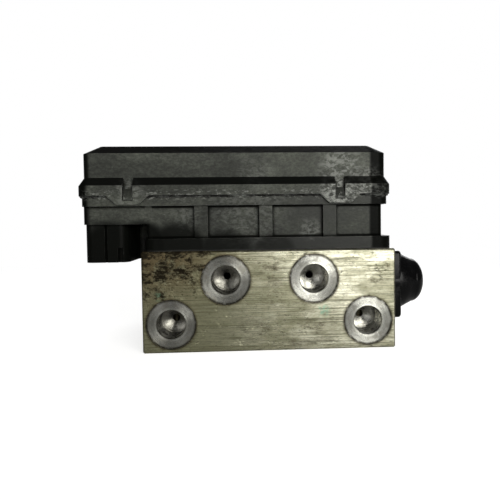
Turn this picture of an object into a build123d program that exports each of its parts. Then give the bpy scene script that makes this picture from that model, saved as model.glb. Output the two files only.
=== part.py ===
from build123d import *
import os
from math import cos, radians, sin

# Anti-lock brake module: a drilled aluminium valve block with solenoid valves, return pumps and
# accumulators, and the moulded control unit that is screwed on top of it. Millimetres.
# The origin is the centre of the motor pilot in the lower face. X runs along the row of ports,
# Y goes into the block from the port face, and Z points up to the lid.

# Valve block
BLOCK_LENGTH = 93.0
BLOCK_DEPTH = 76.0
BLOCK_HEIGHT = 37.0
BLOCK_EDGE = 0.5
MOTOR_TO_BACK = 34.0

# Solenoid valves, in a row of inlet valves and a row of outlet valves
VALVE_END_MARGIN = 16.5
VALVE_ROW_SHARE = 7 / 38
VALVE_BORE_R = 5.5
VALVE_BORE_DEPTH = 12.5
VALVE_NOSE_R = 4.0
VALVE_NOSE_LENGTH = 5.9
VALVE_RECESS = 0.3
VALVE_SEAT_DEPTH = 2.7
VALVE_ORIFICE_R = 0.7
DOME_R = 3.4
DOME_WALL = 0.55
ARMATURE_FIT = 0.05
ARMATURE_TIP = 4.4
ARMATURE_LENGTH = 17.0
ARMATURE_TIP_R = 0.9
ARMATURE_LIFT = 0.4
SEAT_CLEARANCE = 0.02

# Passages drilled between the bores, each closed by a pressed plug at its mouth
PASSAGE_R = 1.5
FEED_OFFSET = 6.2
FEED_RISE = 1.8
SUPPLY_DROP = 4.5
RETURN_DROP = 2.3
RISER_PAST_SEAT = 2.4
PLUG_LENGTH = 2.6
PLUG_RECESS = 0.4

# Screwed tube ports: four for the wheels in the port face, two for the master cylinder below
PORT_R = 5.5
PORT_DEPTH = 13.0
PORT_SEAT_R = 4.4
PORT_SEAT = 1.4
SPOT_FACE_R = 9.1
SPOT_FACE_DEPTH = 0.4
LOWER_PORT_Z = 10.4
INLET_END_MARGIN = 9.5
INLET_DEPTH = 12.0

# Motor seat, cam chamber and the passage for the motor leads
PILOT_R = 14.0
PILOT_DEPTH = 3.0
CAM_R = 11.0
CAM_DEPTH = 17.0
MOTOR_SCREW_CIRCLE = 26.0
MOTOR_SCREW_COUNT = 3
SMALL_TAP_R = 2.1
TAP_DEPTH = 12.0
LEAD_Y = -26.0
LEAD_R = 4.5
BRACKET_SCREW_MARGIN = (5.5, 7.0)
BRACKET_TAP_R = 2.5

# Return pumps, one each side of the cam
PUMP_Z = 11.0
PUMP_BORE_R = 6.25
PUMP_BORE_DEPTH = 26.5
PUMP_PISTON_R = 3.45
PUMP_FIT = 0.05
PUMP_NOSE_R = 2.6
PUMP_NOSE_LENGTH = 2.5
PUMP_NOSE_REACH = 1.5
PUMP_COLLAR_R = 4.2
PUMP_COLLAR_LENGTH = 1.5
PUMP_GUIDE_LENGTH = 13.0
PUMP_CHAMBER_R = 4.7
PUMP_PLUG_LENGTH = 2.8
PUMP_PLUG_RECESS = 0.2
PUMP_PLUG_SOCKET_R = 3.0
PUMP_PLUG_SOCKET_DEPTH = 1.2
PUMP_OUTLET_INSET = 5.5
PUMP_SPRING_R = 3.5
PUMP_SPRING_WIRE = 0.7
PUMP_SPRING_TURNS = 3.5

# Plain-sided springs; the end share of the wire is kept free of the seat
SPRING_SIDES = 8
SPRING_END_SHARE = 0.62

# Low-pressure accumulators, bored in from the back
ACCUMULATOR_END_MARGIN = 19.5
ACCUMULATOR_Z = 11.5
ACCUMULATOR_R = 9.5
ACCUMULATOR_DEPTH = 22.0
ACCUMULATOR_FIT = 0.05
ACCUMULATOR_NUB_R = 6.0
ACCUMULATOR_NUB = 3.0
ACCUMULATOR_PISTON_LENGTH = 7.0
ACCUMULATOR_CROWN = 3.2
ACCUMULATOR_CUP_R = 7.4
ACCUMULATOR_CAP = 3.0
ACCUMULATOR_CAP_DISH_R = 6.5
ACCUMULATOR_CAP_DISH = 1.2
SEAL_GROOVE_DEPTH = 1.3
SEAL_WIDTH = 1.7
ACCUMULATOR_SPRING_R = 6.2
ACCUMULATOR_SPRING_WIRE = 1.1
ACCUMULATOR_SPRING_TURNS = 3

# Control unit, level by level from the top of the block
ECU_INSET = 0.6
OVERHANG = 23.6
GASKET = 0.4
GASKET_WIDTH = 3.0
FLANGE_HEIGHT = 4.2
LOWER_WALL_HEIGHT = 12.0
RIM_HEIGHT = 3.8
COLLAR_HEIGHT = 3.6
SLOPE_HEIGHT = 2.9
LID_WALL_HEIGHT = 8.8
CROWN_HEIGHT = 3.2
CROWN_RUN = 5.2
CROWN_CORNER_R = 1.6
LID_CORNER_R = 3.5
COLLAR_PROUD = 2.0
RIM_INSET = 1.3
WALL_INSET = 1.9
LEFT_WALL_INSET = 0.8
OVERHANG_INSET = 0.4
OVERHANG_HEIGHT = 6.6
WALL = 2.0
PARTITION = 2.0
RIB_WIDTH = 4.8
RIB_PROUD = 1.4
RIB_PITCH = 23.7
RIB_COUNT = 3
END_RIB_COUNT = 2
WALL_CORNER_R = 2.0

# Snap tabs of the lid and the noses that they catch on
TAB_X = (-50.9, 26.3)
TAB_TOP = 15.2
TAB_BOTTOM = 8.0
TAB_DROP = 3.3
TAB_BAR = 1.4
TAB_GAP = 0.1
WINDOW_WIDTH = 3.7
NOSE_GAP = 0.3
NOSE_RISE = 2.4

# Connector shroud under the overhang
SHROUD_DROP = 14.0
SHROUD_WIDTH = 15.7
SHROUD_FRONT_INSET = 3.0
SHROUD_LEFT_INSET = 0.4
SHROUD_BACK_INSET = 4.0
SHROUD_CORNER_R = 3.5
SHROUD_WALL = 1.8
SHROUD_GROOVE_X = 7.9
SHROUD_GROOVE = 0.9
SHROUD_NOTCH_X = 13.0
SHROUD_NOTCH_WIDTH = 1.8
SHROUD_NOTCH_HEIGHT = 5.4
BRACE = 2.0
BRACE_SETBACK = 22.0
BRACE_GAP = 0.7
PIN_SIDE = 0.7
PIN_PITCH = 6.4
PIN_ROWS = 2
PIN_COUNT = 8
PIN_ROW_PITCH = 5.6
PIN_RECESS = 5.5

# Inside the control unit
COIL_HALF = 7.2
COIL_WINDOW = 0.9
COIL_FLANGE = 1.2
COIL_LIFT = 1.5
COIL_BORE_GAP = 0.25
COIL_LEG = 0.9
COIL_LEG_SPAN = 3.0
COIL_LEG_REACH = 5.6
LEG_SLOT = 2.2
SLOT_END = 1.5
YOKE = 1.5
YOKE_MARGIN = 1.2
DOME_GAP = 0.7
CHIMNEY_R = 3.9
CHIMNEY_CLEARANCE = 0.3
CHIMNEY_BORE_R = 2.9
CHIMNEY_DEPTH = 16.0
CHIMNEY_END_GAP = 0.5
LEAD_BLADE = 0.8
LEAD_BLADE_WIDTH = 3.0
LEAD_BLADE_SPAN = 2.6
LEAD_BLADE_RECESS = 3.0
TOWER_R = 3.3
TOWER_SINK = 0.3
ECU_SCREW_R = 2.0
ECU_SCREW_CLEARANCE = 0.3
ECU_SCREW_HEAD_R = 2.9
ECU_SCREW_HEAD = 2.4
ECU_SCREW_GRIP = 10.0
FRONT_SCREW_OFFSET = 7.0
STANDOFF = 3.4
STANDOFF_SHARES = (0.2, 1.9)
STANDOFF_R = 2.2
BOARD = 1.6
BOARD_GAP = 1.2
RELAY_LENGTH = 19.0
RELAY_WIDTH = 15.5
RELAY_HEIGHT = 11.0
RELAY_SPAN = 26.0
RELAY_X = 22.0
CAPACITOR_R = 5.0
CAPACITOR_HEIGHT = 11.0
CAPACITOR_X = -6.0
CHIP_SIDE = 16.0
CHIP_HEIGHT = 1.8
CHIP_X = -30.0
LID_SEAL_WIDTH = 1.4
LID_SEAL_DEPTH = 1.2
LID_SEAL_INSET = 1.6

# Rubber mounting isolator on the right-hand end
ISOLATOR_Y = -22.0
ISOLATOR_Z = 23.0
ISOLATOR_FLANGE_DROP = 1.2
ISOLATOR_FLANGE_R = 13.7
ISOLATOR_FLANGE = 9.0
ISOLATOR_DOME_R = 9.0
ISOLATOR_DOME_FOOT_R = 9.8
ISOLATOR_SHOULDER = 12.6
ISOLATOR_REACH = 17.3
ISOLATOR_DOME_STEPS = 4
ISOLATOR_EDGE = 1.0
STUD_R = 3.0
STUD_DEPTH = 8.0
STUD_PLATE_R = 9.0
STUD_PLATE = 2.0
STUD_PLATE_INSET = 1.5

# Places that follow from the sizes above
BLOCK_END = BLOCK_LENGTH / 2
FRONT = MOTOR_TO_BACK - BLOCK_DEPTH
BACK = MOTOR_TO_BACK
MID_Y = (FRONT + BACK) / 2
SIDES = {"left": -1, "right": 1}

VALVE_PITCH = (BLOCK_LENGTH - 2 * VALVE_END_MARGIN) / 3
VALVE_ROW = BLOCK_DEPTH * VALVE_ROW_SHARE
VALVE_FLOOR = BLOCK_HEIGHT - VALVE_BORE_DEPTH
VALVE_COLUMNS = [VALVE_PITCH * step for step in (-1.5, -0.5, 0.5, 1.5)]
INLET_VALVES = [(x, -VALVE_ROW) for x in VALVE_COLUMNS]
OUTLET_VALVES = [(x, VALVE_ROW) for x in VALVE_COLUMNS]

FEED_Z = VALVE_FLOOR + FEED_RISE
SUPPLY_Z = VALVE_FLOOR - SUPPLY_DROP
RETURN_Z = VALVE_FLOOR - RETURN_DROP
UPPER_PORT_X = VALVE_PITCH / 2 + FEED_OFFSET
LOWER_PORT_X = VALVE_PITCH * 1.5 + FEED_OFFSET
PORT_FLOOR = FRONT + PORT_DEPTH
RISER_Y = PORT_FLOOR + RISER_PAST_SEAT
INLET_X = BLOCK_END - INLET_END_MARGIN
BRACKET_SCREW_X = BLOCK_END - BRACKET_SCREW_MARGIN[0]
BRACKET_SCREW_Y = BACK - BRACKET_SCREW_MARGIN[1]
ACCUMULATOR_X = BLOCK_END - ACCUMULATOR_END_MARGIN
LEAD_DEPTH = BLOCK_HEIGHT - CHIMNEY_DEPTH - CHIMNEY_END_GAP
PUMP_OUTLET_X = BLOCK_END - PUMP_OUTLET_INSET
PUMP_FLOOR_X = BLOCK_END - PUMP_BORE_DEPTH
ACCUMULATOR_FLOOR = BACK - ACCUMULATOR_DEPTH

FLANGE_BOTTOM = BLOCK_HEIGHT + GASKET
FLANGE_TOP = FLANGE_BOTTOM + FLANGE_HEIGHT
RIM_BOTTOM = FLANGE_TOP + LOWER_WALL_HEIGHT
RIM_TOP = RIM_BOTTOM + RIM_HEIGHT
COLLAR_TOP = RIM_TOP + COLLAR_HEIGHT
SLOPE_TOP = COLLAR_TOP + SLOPE_HEIGHT
SHOULDER = SLOPE_TOP + LID_WALL_HEIGHT
LID_TOP = SHOULDER + CROWN_HEIGHT
PARTITION_TOP = RIM_BOTTOM + PARTITION
BOARD_BOTTOM = PARTITION_TOP + STANDOFF
BOARD_TOP = BOARD_BOTTOM + BOARD

FLANGE_LENGTH = BLOCK_LENGTH - 2 * ECU_INSET
FLANGE_DEPTH = BLOCK_DEPTH - 2 * ECU_INSET
COLLAR_LENGTH = FLANGE_LENGTH + OVERHANG
COLLAR_MID_X = -OVERHANG / 2
COLLAR_LEFT = -FLANGE_LENGTH / 2 - OVERHANG
COLLAR_FRONT = MID_Y - FLANGE_DEPTH / 2
COLLAR_CORNER_R = LID_CORNER_R + COLLAR_PROUD
WALL_MARGIN = RIM_INSET + WALL_INSET
WALL_RIGHT = FLANGE_LENGTH / 2 - WALL_MARGIN
WALL_LEFT = -FLANGE_LENGTH / 2 + LEFT_WALL_INSET
WALL_DEPTH = FLANGE_DEPTH - 2 * WALL_MARGIN
WALL_LENGTH = WALL_RIGHT - WALL_LEFT
WALL_MID_X = (WALL_RIGHT + WALL_LEFT) / 2
OVERHANG_LEFT = COLLAR_LEFT + RIM_INSET + OVERHANG_INSET
OVERHANG_BOTTOM = RIM_BOTTOM - OVERHANG_HEIGHT
CAVITY_LEFT = OVERHANG_LEFT + WALL
CAVITY_RIGHT = WALL_RIGHT - WALL
CAVITY_DEPTH = WALL_DEPTH - 2 * WALL
CAVITY_FRONT = MID_Y - CAVITY_DEPTH / 2
CAVITY_BACK = MID_Y + CAVITY_DEPTH / 2

SHROUD_LEFT = COLLAR_LEFT + RIM_INSET + SHROUD_LEFT_INSET
SHROUD_BOTTOM = OVERHANG_BOTTOM - SHROUD_DROP
SHROUD_FRONT = COLLAR_FRONT + RIM_INSET + SHROUD_FRONT_INSET
SHROUD_BACK = MID_Y + WALL_DEPTH / 2 - SHROUD_BACK_INSET
SHROUD_MID = (SHROUD_LEFT + SHROUD_WIDTH / 2, (SHROUD_FRONT + SHROUD_BACK) / 2)
SHROUD_DEPTH = SHROUD_BACK - SHROUD_FRONT

SHROUD_RIGHT = SHROUD_LEFT + SHROUD_WIDTH
BRACE_END = -BLOCK_END - BRACE_GAP

TOWER_REACH = TOWER_R - TOWER_SINK
FRONT_SCREW_X = VALVE_PITCH + FRONT_SCREW_OFFSET
ECU_SCREWS = [
    (side * x, y)
    for side in (-1, 1)
    for x, y in ((FRONT_SCREW_X, CAVITY_FRONT + TOWER_REACH), (VALVE_PITCH, CAVITY_BACK - TOWER_REACH))
]
STANDOFFS = [(side * VALVE_PITCH, -VALVE_ROW * share) for side in (-1, 1) for share in STANDOFF_SHARES]
BOARD_LEFT = CAVITY_LEFT + BOARD_GAP
BOARD_RIGHT = CAVITY_RIGHT - BOARD_GAP
BOARD_DEPTH = CAVITY_DEPTH - 2 * BOARD_GAP

UP = (0, 0, 1)
DOWN = (0, 0, -1)
INTO_BLOCK = (0, 1, 0)
FROM_BACK = (0, -1, 0)
BASE = (Align.CENTER, Align.CENTER, Align.MIN)

WHEEL_PORTS = [(side * UPPER_PORT_X, FEED_Z) for side in (-1, 1)]
WHEEL_PORTS += [(side * LOWER_PORT_X, LOWER_PORT_Z) for side in (-1, 1)]

# Passages that are drilled from a face: the mouth, the direction and the depth
PLUGGED_PASSAGES = []
for side in (-1, 1):
    FROM_END = (-side, 0, 0)
    PLUGGED_PASSAGES += [
        ((side * LOWER_PORT_X, BACK, FEED_Z), FROM_BACK, BACK - RISER_Y + PASSAGE_R),
        ((side * LOWER_PORT_X, RISER_Y, BLOCK_HEIGHT), DOWN, BLOCK_HEIGHT - LOWER_PORT_Z + PASSAGE_R),
        ((side * BLOCK_END, -VALVE_ROW, SUPPLY_Z), FROM_END, BLOCK_END - VALVE_PITCH / 2 + PASSAGE_R),
        ((side * BLOCK_END, VALVE_ROW, RETURN_Z), FROM_END, BLOCK_END - VALVE_PITCH / 2 + PASSAGE_R),
        ((side * PUMP_OUTLET_X, BACK, SUPPLY_Z), FROM_BACK, BACK + VALVE_ROW),
        ((side * PUMP_OUTLET_X, 0, BLOCK_HEIGHT), DOWN, BLOCK_HEIGHT - PUMP_Z),
    ]

# Passages that start inside another bore
INNER_PASSAGES = []
for side in (-1, 1):
    INNER_PASSAGES += [
        ((side * UPPER_PORT_X, PORT_FLOOR, FEED_Z), INTO_BLOCK, VALVE_ROW - PORT_FLOOR),
        ((side * LOWER_PORT_X, PORT_FLOOR, LOWER_PORT_Z), INTO_BLOCK, RISER_PAST_SEAT),
        ((side * INLET_X, -VALVE_ROW, INLET_DEPTH), UP, SUPPLY_Z - INLET_DEPTH),
        ((side * ACCUMULATOR_X, ACCUMULATOR_FLOOR, PUMP_Z), FROM_BACK, ACCUMULATOR_FLOOR),
    ]
INNER_PASSAGES += [((x, y, VALVE_FLOOR), DOWN, SUPPLY_DROP) for x, y in INLET_VALVES]
INNER_PASSAGES += [((x, y, VALVE_FLOOR), DOWN, RETURN_DROP + 2 * PASSAGE_R) for x, y in OUTLET_VALVES]

os.makedirs("parts", exist_ok=True)


def coil_corners(radius, length, turns):
    """Corners of a plain-sided spring that starts at the origin and climbs along Z."""
    steps = round(turns * SPRING_SIDES)
    turn = radians(360 / SPRING_SIDES)
    return [(radius * cos(turn * k), radius * sin(turn * k), length * k / steps) for k in range(steps + 1)]


# The valve block, sawn from an extruded bar and drilled from all six faces
with BuildPart() as valve_block:
    with BuildSketch(Plane.XY):
        with Locations((0, MID_Y)):
            Rectangle(BLOCK_LENGTH, BLOCK_DEPTH)
    extrude(amount=BLOCK_HEIGHT)
    chamfer(valve_block.edges(), BLOCK_EDGE)
    for mouth, direction, depth in PLUGGED_PASSAGES:
        with Locations(Plane(origin=mouth, z_dir=direction)):
            Cylinder(PASSAGE_R, depth, align=BASE, mode=Mode.SUBTRACT)
    for mouth, direction, depth in INNER_PASSAGES:
        with Locations(Plane(origin=mouth, z_dir=direction)):
            Cylinder(PASSAGE_R, depth, align=BASE, mode=Mode.SUBTRACT)
    for x, z in WHEEL_PORTS:
        with Locations(Plane(origin=(x, FRONT, z), z_dir=INTO_BLOCK)):
            Cylinder(SPOT_FACE_R, SPOT_FACE_DEPTH, align=BASE, mode=Mode.SUBTRACT)
            Cylinder(PORT_R, PORT_DEPTH, align=BASE, mode=Mode.SUBTRACT)
            with Locations((0, 0, PORT_DEPTH)):
                Cone(PORT_SEAT_R, PASSAGE_R, PORT_SEAT, align=BASE, mode=Mode.SUBTRACT)
    for side in (-1, 1):
        with Locations(Plane(origin=(side * INLET_X, -VALVE_ROW, 0), z_dir=UP)):
            Cylinder(SPOT_FACE_R, SPOT_FACE_DEPTH, align=BASE, mode=Mode.SUBTRACT)
            Cylinder(PORT_R, INLET_DEPTH, align=BASE, mode=Mode.SUBTRACT)
        with Locations(Plane(origin=(side * BLOCK_END, 0, PUMP_Z), z_dir=(-side, 0, 0))):
            Cylinder(PUMP_BORE_R, PUMP_BORE_DEPTH, align=BASE, mode=Mode.SUBTRACT)
            Cylinder(PUMP_COLLAR_R, BLOCK_END, align=BASE, mode=Mode.SUBTRACT)
        with Locations(Plane(origin=(side * ACCUMULATOR_X, BACK, ACCUMULATOR_Z), z_dir=FROM_BACK)):
            Cylinder(ACCUMULATOR_R, ACCUMULATOR_DEPTH, align=BASE, mode=Mode.SUBTRACT)
        with Locations(Plane(origin=(side * BRACKET_SCREW_X, BRACKET_SCREW_Y, 0), z_dir=UP)):
            Cylinder(BRACKET_TAP_R, TAP_DEPTH, align=BASE, mode=Mode.SUBTRACT)
    with Locations(*[(x, y, VALVE_FLOOR) for x, y in INLET_VALVES + OUTLET_VALVES]):
        Cylinder(VALVE_BORE_R, VALVE_BORE_DEPTH, align=BASE, mode=Mode.SUBTRACT)
    with Locations(*[(x, y, BLOCK_HEIGHT - TAP_DEPTH) for x, y in ECU_SCREWS]):
        Cylinder(ECU_SCREW_R, TAP_DEPTH, align=BASE, mode=Mode.SUBTRACT)
    Cylinder(PILOT_R, PILOT_DEPTH, align=BASE, mode=Mode.SUBTRACT)
    Cylinder(CAM_R, CAM_DEPTH, align=BASE, mode=Mode.SUBTRACT)
    with PolarLocations(MOTOR_SCREW_CIRCLE, MOTOR_SCREW_COUNT, start_angle=90):
        Cylinder(SMALL_TAP_R, TAP_DEPTH, align=BASE, mode=Mode.SUBTRACT)
    with Locations((0, LEAD_Y, 0)):
        Cylinder(LEAD_R, LEAD_DEPTH, align=BASE, mode=Mode.SUBTRACT)
        Cylinder(CHIMNEY_R + CHIMNEY_CLEARANCE, BLOCK_HEIGHT, align=BASE, mode=Mode.SUBTRACT)
    with Locations(Plane(origin=(BLOCK_END, ISOLATOR_Y, ISOLATOR_Z), z_dir=(-1, 0, 0))):
        Cylinder(STUD_R, STUD_DEPTH, align=BASE, mode=Mode.SUBTRACT)
valve_block.part.label = "valve_block"
export_step(valve_block.part, "parts/valve_block.step")

# Twelve pressed plugs that close the drilled passages
with BuildPart() as passage_plugs:
    for mouth, direction, depth in PLUGGED_PASSAGES:
        with Locations(Plane(origin=mouth, z_dir=direction)):
            with Locations((0, 0, PLUG_RECESS)):
                Cylinder(PASSAGE_R, PLUG_LENGTH, align=BASE)
passage_plugs.part.label = "passage_plugs"
export_step(passage_plugs.part, "parts/passage_plugs.step")


# Valve cartridges, armatures and coils. Inlet valves rest open and outlet valves rest closed.
SHELL_TOP = BLOCK_HEIGHT - VALVE_RECESS
NOSE_TOP = VALVE_FLOOR + VALVE_NOSE_LENGTH
SEAT_Z = VALVE_FLOOR + VALVE_SEAT_DEPTH
DOME_TOP = RIM_BOTTOM - DOME_GAP
DOME_BORE_R = DOME_R - DOME_WALL
ARMATURE_R = DOME_BORE_R - ARMATURE_FIT
COIL_BOTTOM = BLOCK_HEIGHT + COIL_LIFT
YOKE_BOTTOM = RIM_BOTTOM - YOKE
COIL_BORE_R = DOME_R + COIL_BORE_GAP

for kind, spots, lift in (("inlet", INLET_VALVES, ARMATURE_LIFT), ("outlet", OUTLET_VALVES, 0)):
    for number, (x, y) in enumerate(spots, start=1):
        section = Plane(origin=(x, y, 0), x_dir=(1, 0, 0), z_dir=(0, -1, 0))
        valve_axis = Axis((x, y, 0), UP)

        with BuildPart() as valve:
            with BuildSketch(section):
                with BuildLine():
                    Polyline(
                        (VALVE_ORIFICE_R, VALVE_FLOOR),
                        (VALVE_NOSE_R, VALVE_FLOOR),
                        (VALVE_NOSE_R, NOSE_TOP),
                        (VALVE_BORE_R, NOSE_TOP),
                        (VALVE_BORE_R, SHELL_TOP),
                        (DOME_R, SHELL_TOP),
                        (DOME_R, DOME_TOP),
                        (0, DOME_TOP),
                        (0, DOME_TOP - DOME_WALL),
                        (DOME_BORE_R, DOME_TOP - DOME_WALL),
                        (DOME_BORE_R, SEAT_Z),
                        (VALVE_ORIFICE_R, SEAT_Z),
                        close=True,
                    )
                make_face()
            revolve(axis=valve_axis)
        valve.part.label = f"{kind}_valve_{number}"
        export_step(valve.part, f"parts/{kind}_valve_{number}.step")

        tip_z = SEAT_Z + SEAT_CLEARANCE + lift
        armature_z = tip_z + ARMATURE_TIP
        armature_top = armature_z + ARMATURE_LENGTH
        with BuildPart() as armature:
            with BuildSketch(section):
                with BuildLine():
                    Polyline(
                        (0, tip_z),
                        (ARMATURE_TIP_R, tip_z),
                        (ARMATURE_TIP_R, armature_z),
                        (ARMATURE_R, armature_z),
                        (ARMATURE_R, armature_top),
                        (0, armature_top),
                        close=True,
                    )
                make_face()
            revolve(axis=valve_axis)
        armature.part.label = f"{kind}_armature_{number}"
        export_step(armature.part, f"parts/{kind}_armature_{number}.step")

        leg_y = y + COIL_LEG_REACH * (1 if y > 0 else -1)
        with BuildPart() as coil:
            with BuildSketch(Plane.XY.offset(COIL_BOTTOM)):
                with Locations((x, y)):
                    Rectangle(2 * COIL_HALF, 2 * COIL_HALF)
                    Circle(COIL_BORE_R, mode=Mode.SUBTRACT)
            extrude(amount=YOKE_BOTTOM - COIL_BOTTOM)
            with BuildSketch(Plane.XY.offset(COIL_BOTTOM + COIL_FLANGE)):
                with Locations((x, y - COIL_HALF), (x, y + COIL_HALF)):
                    Rectangle(2 * COIL_HALF, 2 * COIL_WINDOW)
            extrude(amount=YOKE_BOTTOM - COIL_BOTTOM - 2 * COIL_FLANGE, mode=Mode.SUBTRACT)
            with BuildSketch(Plane.XY.offset(YOKE_BOTTOM)):
                with Locations((x - COIL_LEG_SPAN / 2, leg_y), (x + COIL_LEG_SPAN / 2, leg_y)):
                    Rectangle(COIL_LEG, COIL_LEG)
            extrude(amount=BOARD_BOTTOM - YOKE_BOTTOM)
        coil.part.label = f"{kind}_coil_{number}"
        export_step(coil.part, f"parts/{kind}_coil_{number}.step")

LEG_ROW = VALVE_ROW + COIL_LEG_REACH
SLOT_LENGTH = VALVE_PITCH * 3 + COIL_LEG_SPAN + 2 * SLOT_END

# Steel plate that closes the magnetic circuit over all eight coils, between the rows of legs
with BuildPart() as yoke_plate:
    with BuildSketch(Plane.XY.offset(YOKE_BOTTOM)):
        Rectangle(VALVE_PITCH * 3 + 2 * (COIL_HALF + YOKE_MARGIN), 2 * (LEG_ROW - LEG_SLOT / 2))
        with Locations(*INLET_VALVES, *OUTLET_VALVES):
            Circle(COIL_BORE_R, mode=Mode.SUBTRACT)
    extrude(amount=YOKE)
yoke_plate.part.label = "yoke_plate"
export_step(yoke_plate.part, "parts/yoke_plate.step")


# Accumulators: a piston with its seal, pushed to the floor of the bore by a spring under the cap
PISTON_FACE = ACCUMULATOR_FLOOR + ACCUMULATOR_NUB
PISTON_END = PISTON_FACE + ACCUMULATOR_PISTON_LENGTH
CUP_FLOOR = PISTON_FACE + ACCUMULATOR_CROWN
CAP_FACE = BACK - ACCUMULATOR_CAP
PISTON_R = ACCUMULATOR_R - ACCUMULATOR_FIT
SEAL_START = PISTON_FACE + (ACCUMULATOR_CROWN - SEAL_WIDTH) / 2
GROOVE_R = PISTON_R - SEAL_GROOVE_DEPTH

for name, side in SIDES.items():
    centre = (side * ACCUMULATOR_X, 0, ACCUMULATOR_Z)
    section = Plane(origin=centre, x_dir=(1, 0, 0), z_dir=(0, 0, 1))
    bore_axis = Axis(centre, INTO_BLOCK)

    with BuildPart() as accumulator_piston:
        with BuildSketch(section):
            with BuildLine():
                Polyline(
                    (0, ACCUMULATOR_FLOOR),
                    (ACCUMULATOR_NUB_R, ACCUMULATOR_FLOOR),
                    (ACCUMULATOR_NUB_R, PISTON_FACE),
                    (PISTON_R, PISTON_FACE),
                    (PISTON_R, SEAL_START),
                    (GROOVE_R, SEAL_START),
                    (GROOVE_R, SEAL_START + SEAL_WIDTH),
                    (PISTON_R, SEAL_START + SEAL_WIDTH),
                    (PISTON_R, PISTON_END),
                    (ACCUMULATOR_CUP_R, PISTON_END),
                    (ACCUMULATOR_CUP_R, CUP_FLOOR),
                    (0, CUP_FLOOR),
                    close=True,
                )
            make_face()
        revolve(axis=bore_axis)
    accumulator_piston.part.label = f"accumulator_piston_{name}"
    export_step(accumulator_piston.part, f"parts/accumulator_piston_{name}.step")

    with BuildPart() as accumulator_seal:
        with BuildSketch(section):
            with Locations(((GROOVE_R + PISTON_R) / 2, SEAL_START + SEAL_WIDTH / 2)):
                Rectangle(PISTON_R - GROOVE_R, SEAL_WIDTH)
        revolve(axis=bore_axis)
    accumulator_seal.part.label = f"accumulator_seal_{name}"
    export_step(accumulator_seal.part, f"parts/accumulator_seal_{name}.step")

    spring_end = ACCUMULATOR_SPRING_WIRE * SPRING_END_SHARE
    spring_foot = (side * ACCUMULATOR_X, CUP_FLOOR + spring_end, ACCUMULATOR_Z)
    spring_length = CAP_FACE - CUP_FLOOR - 2 * spring_end
    with BuildPart() as accumulator_spring:
        with BuildLine(Plane(origin=spring_foot, z_dir=INTO_BLOCK)) as wire:
            Polyline(*coil_corners(ACCUMULATOR_SPRING_R, spring_length, ACCUMULATOR_SPRING_TURNS))
        with BuildSketch(Plane(origin=wire.line @ 0, x_dir=INTO_BLOCK, z_dir=wire.line % 0)):
            Rectangle(ACCUMULATOR_SPRING_WIRE, ACCUMULATOR_SPRING_WIRE)
        sweep(transition=Transition.RIGHT)
    accumulator_spring.part.label = f"accumulator_spring_{name}"
    export_step(accumulator_spring.part, f"parts/accumulator_spring_{name}.step")

    with BuildPart() as accumulator_cap:
        with Locations(Plane(origin=(centre[0], BACK, centre[2]), z_dir=FROM_BACK)):
            Cylinder(ACCUMULATOR_R, ACCUMULATOR_CAP, align=BASE)
            Cylinder(ACCUMULATOR_CAP_DISH_R, ACCUMULATOR_CAP_DISH, align=BASE, mode=Mode.SUBTRACT)
    accumulator_cap.part.label = f"accumulator_cap_{name}"
    export_step(accumulator_cap.part, f"parts/accumulator_cap_{name}.step")


# Return pumps: the sleeve guides the piston, and the spring under the plug holds it to the cam
GUIDE_END = PUMP_FLOOR_X + PUMP_GUIDE_LENGTH
PUMP_PLUG_FACE = BLOCK_END - PUMP_PLUG_RECESS - PUMP_PLUG_LENGTH
SLEEVE_END = PUMP_OUTLET_X - PASSAGE_R
NOSE_X = CAM_R - PUMP_NOSE_REACH

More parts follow.
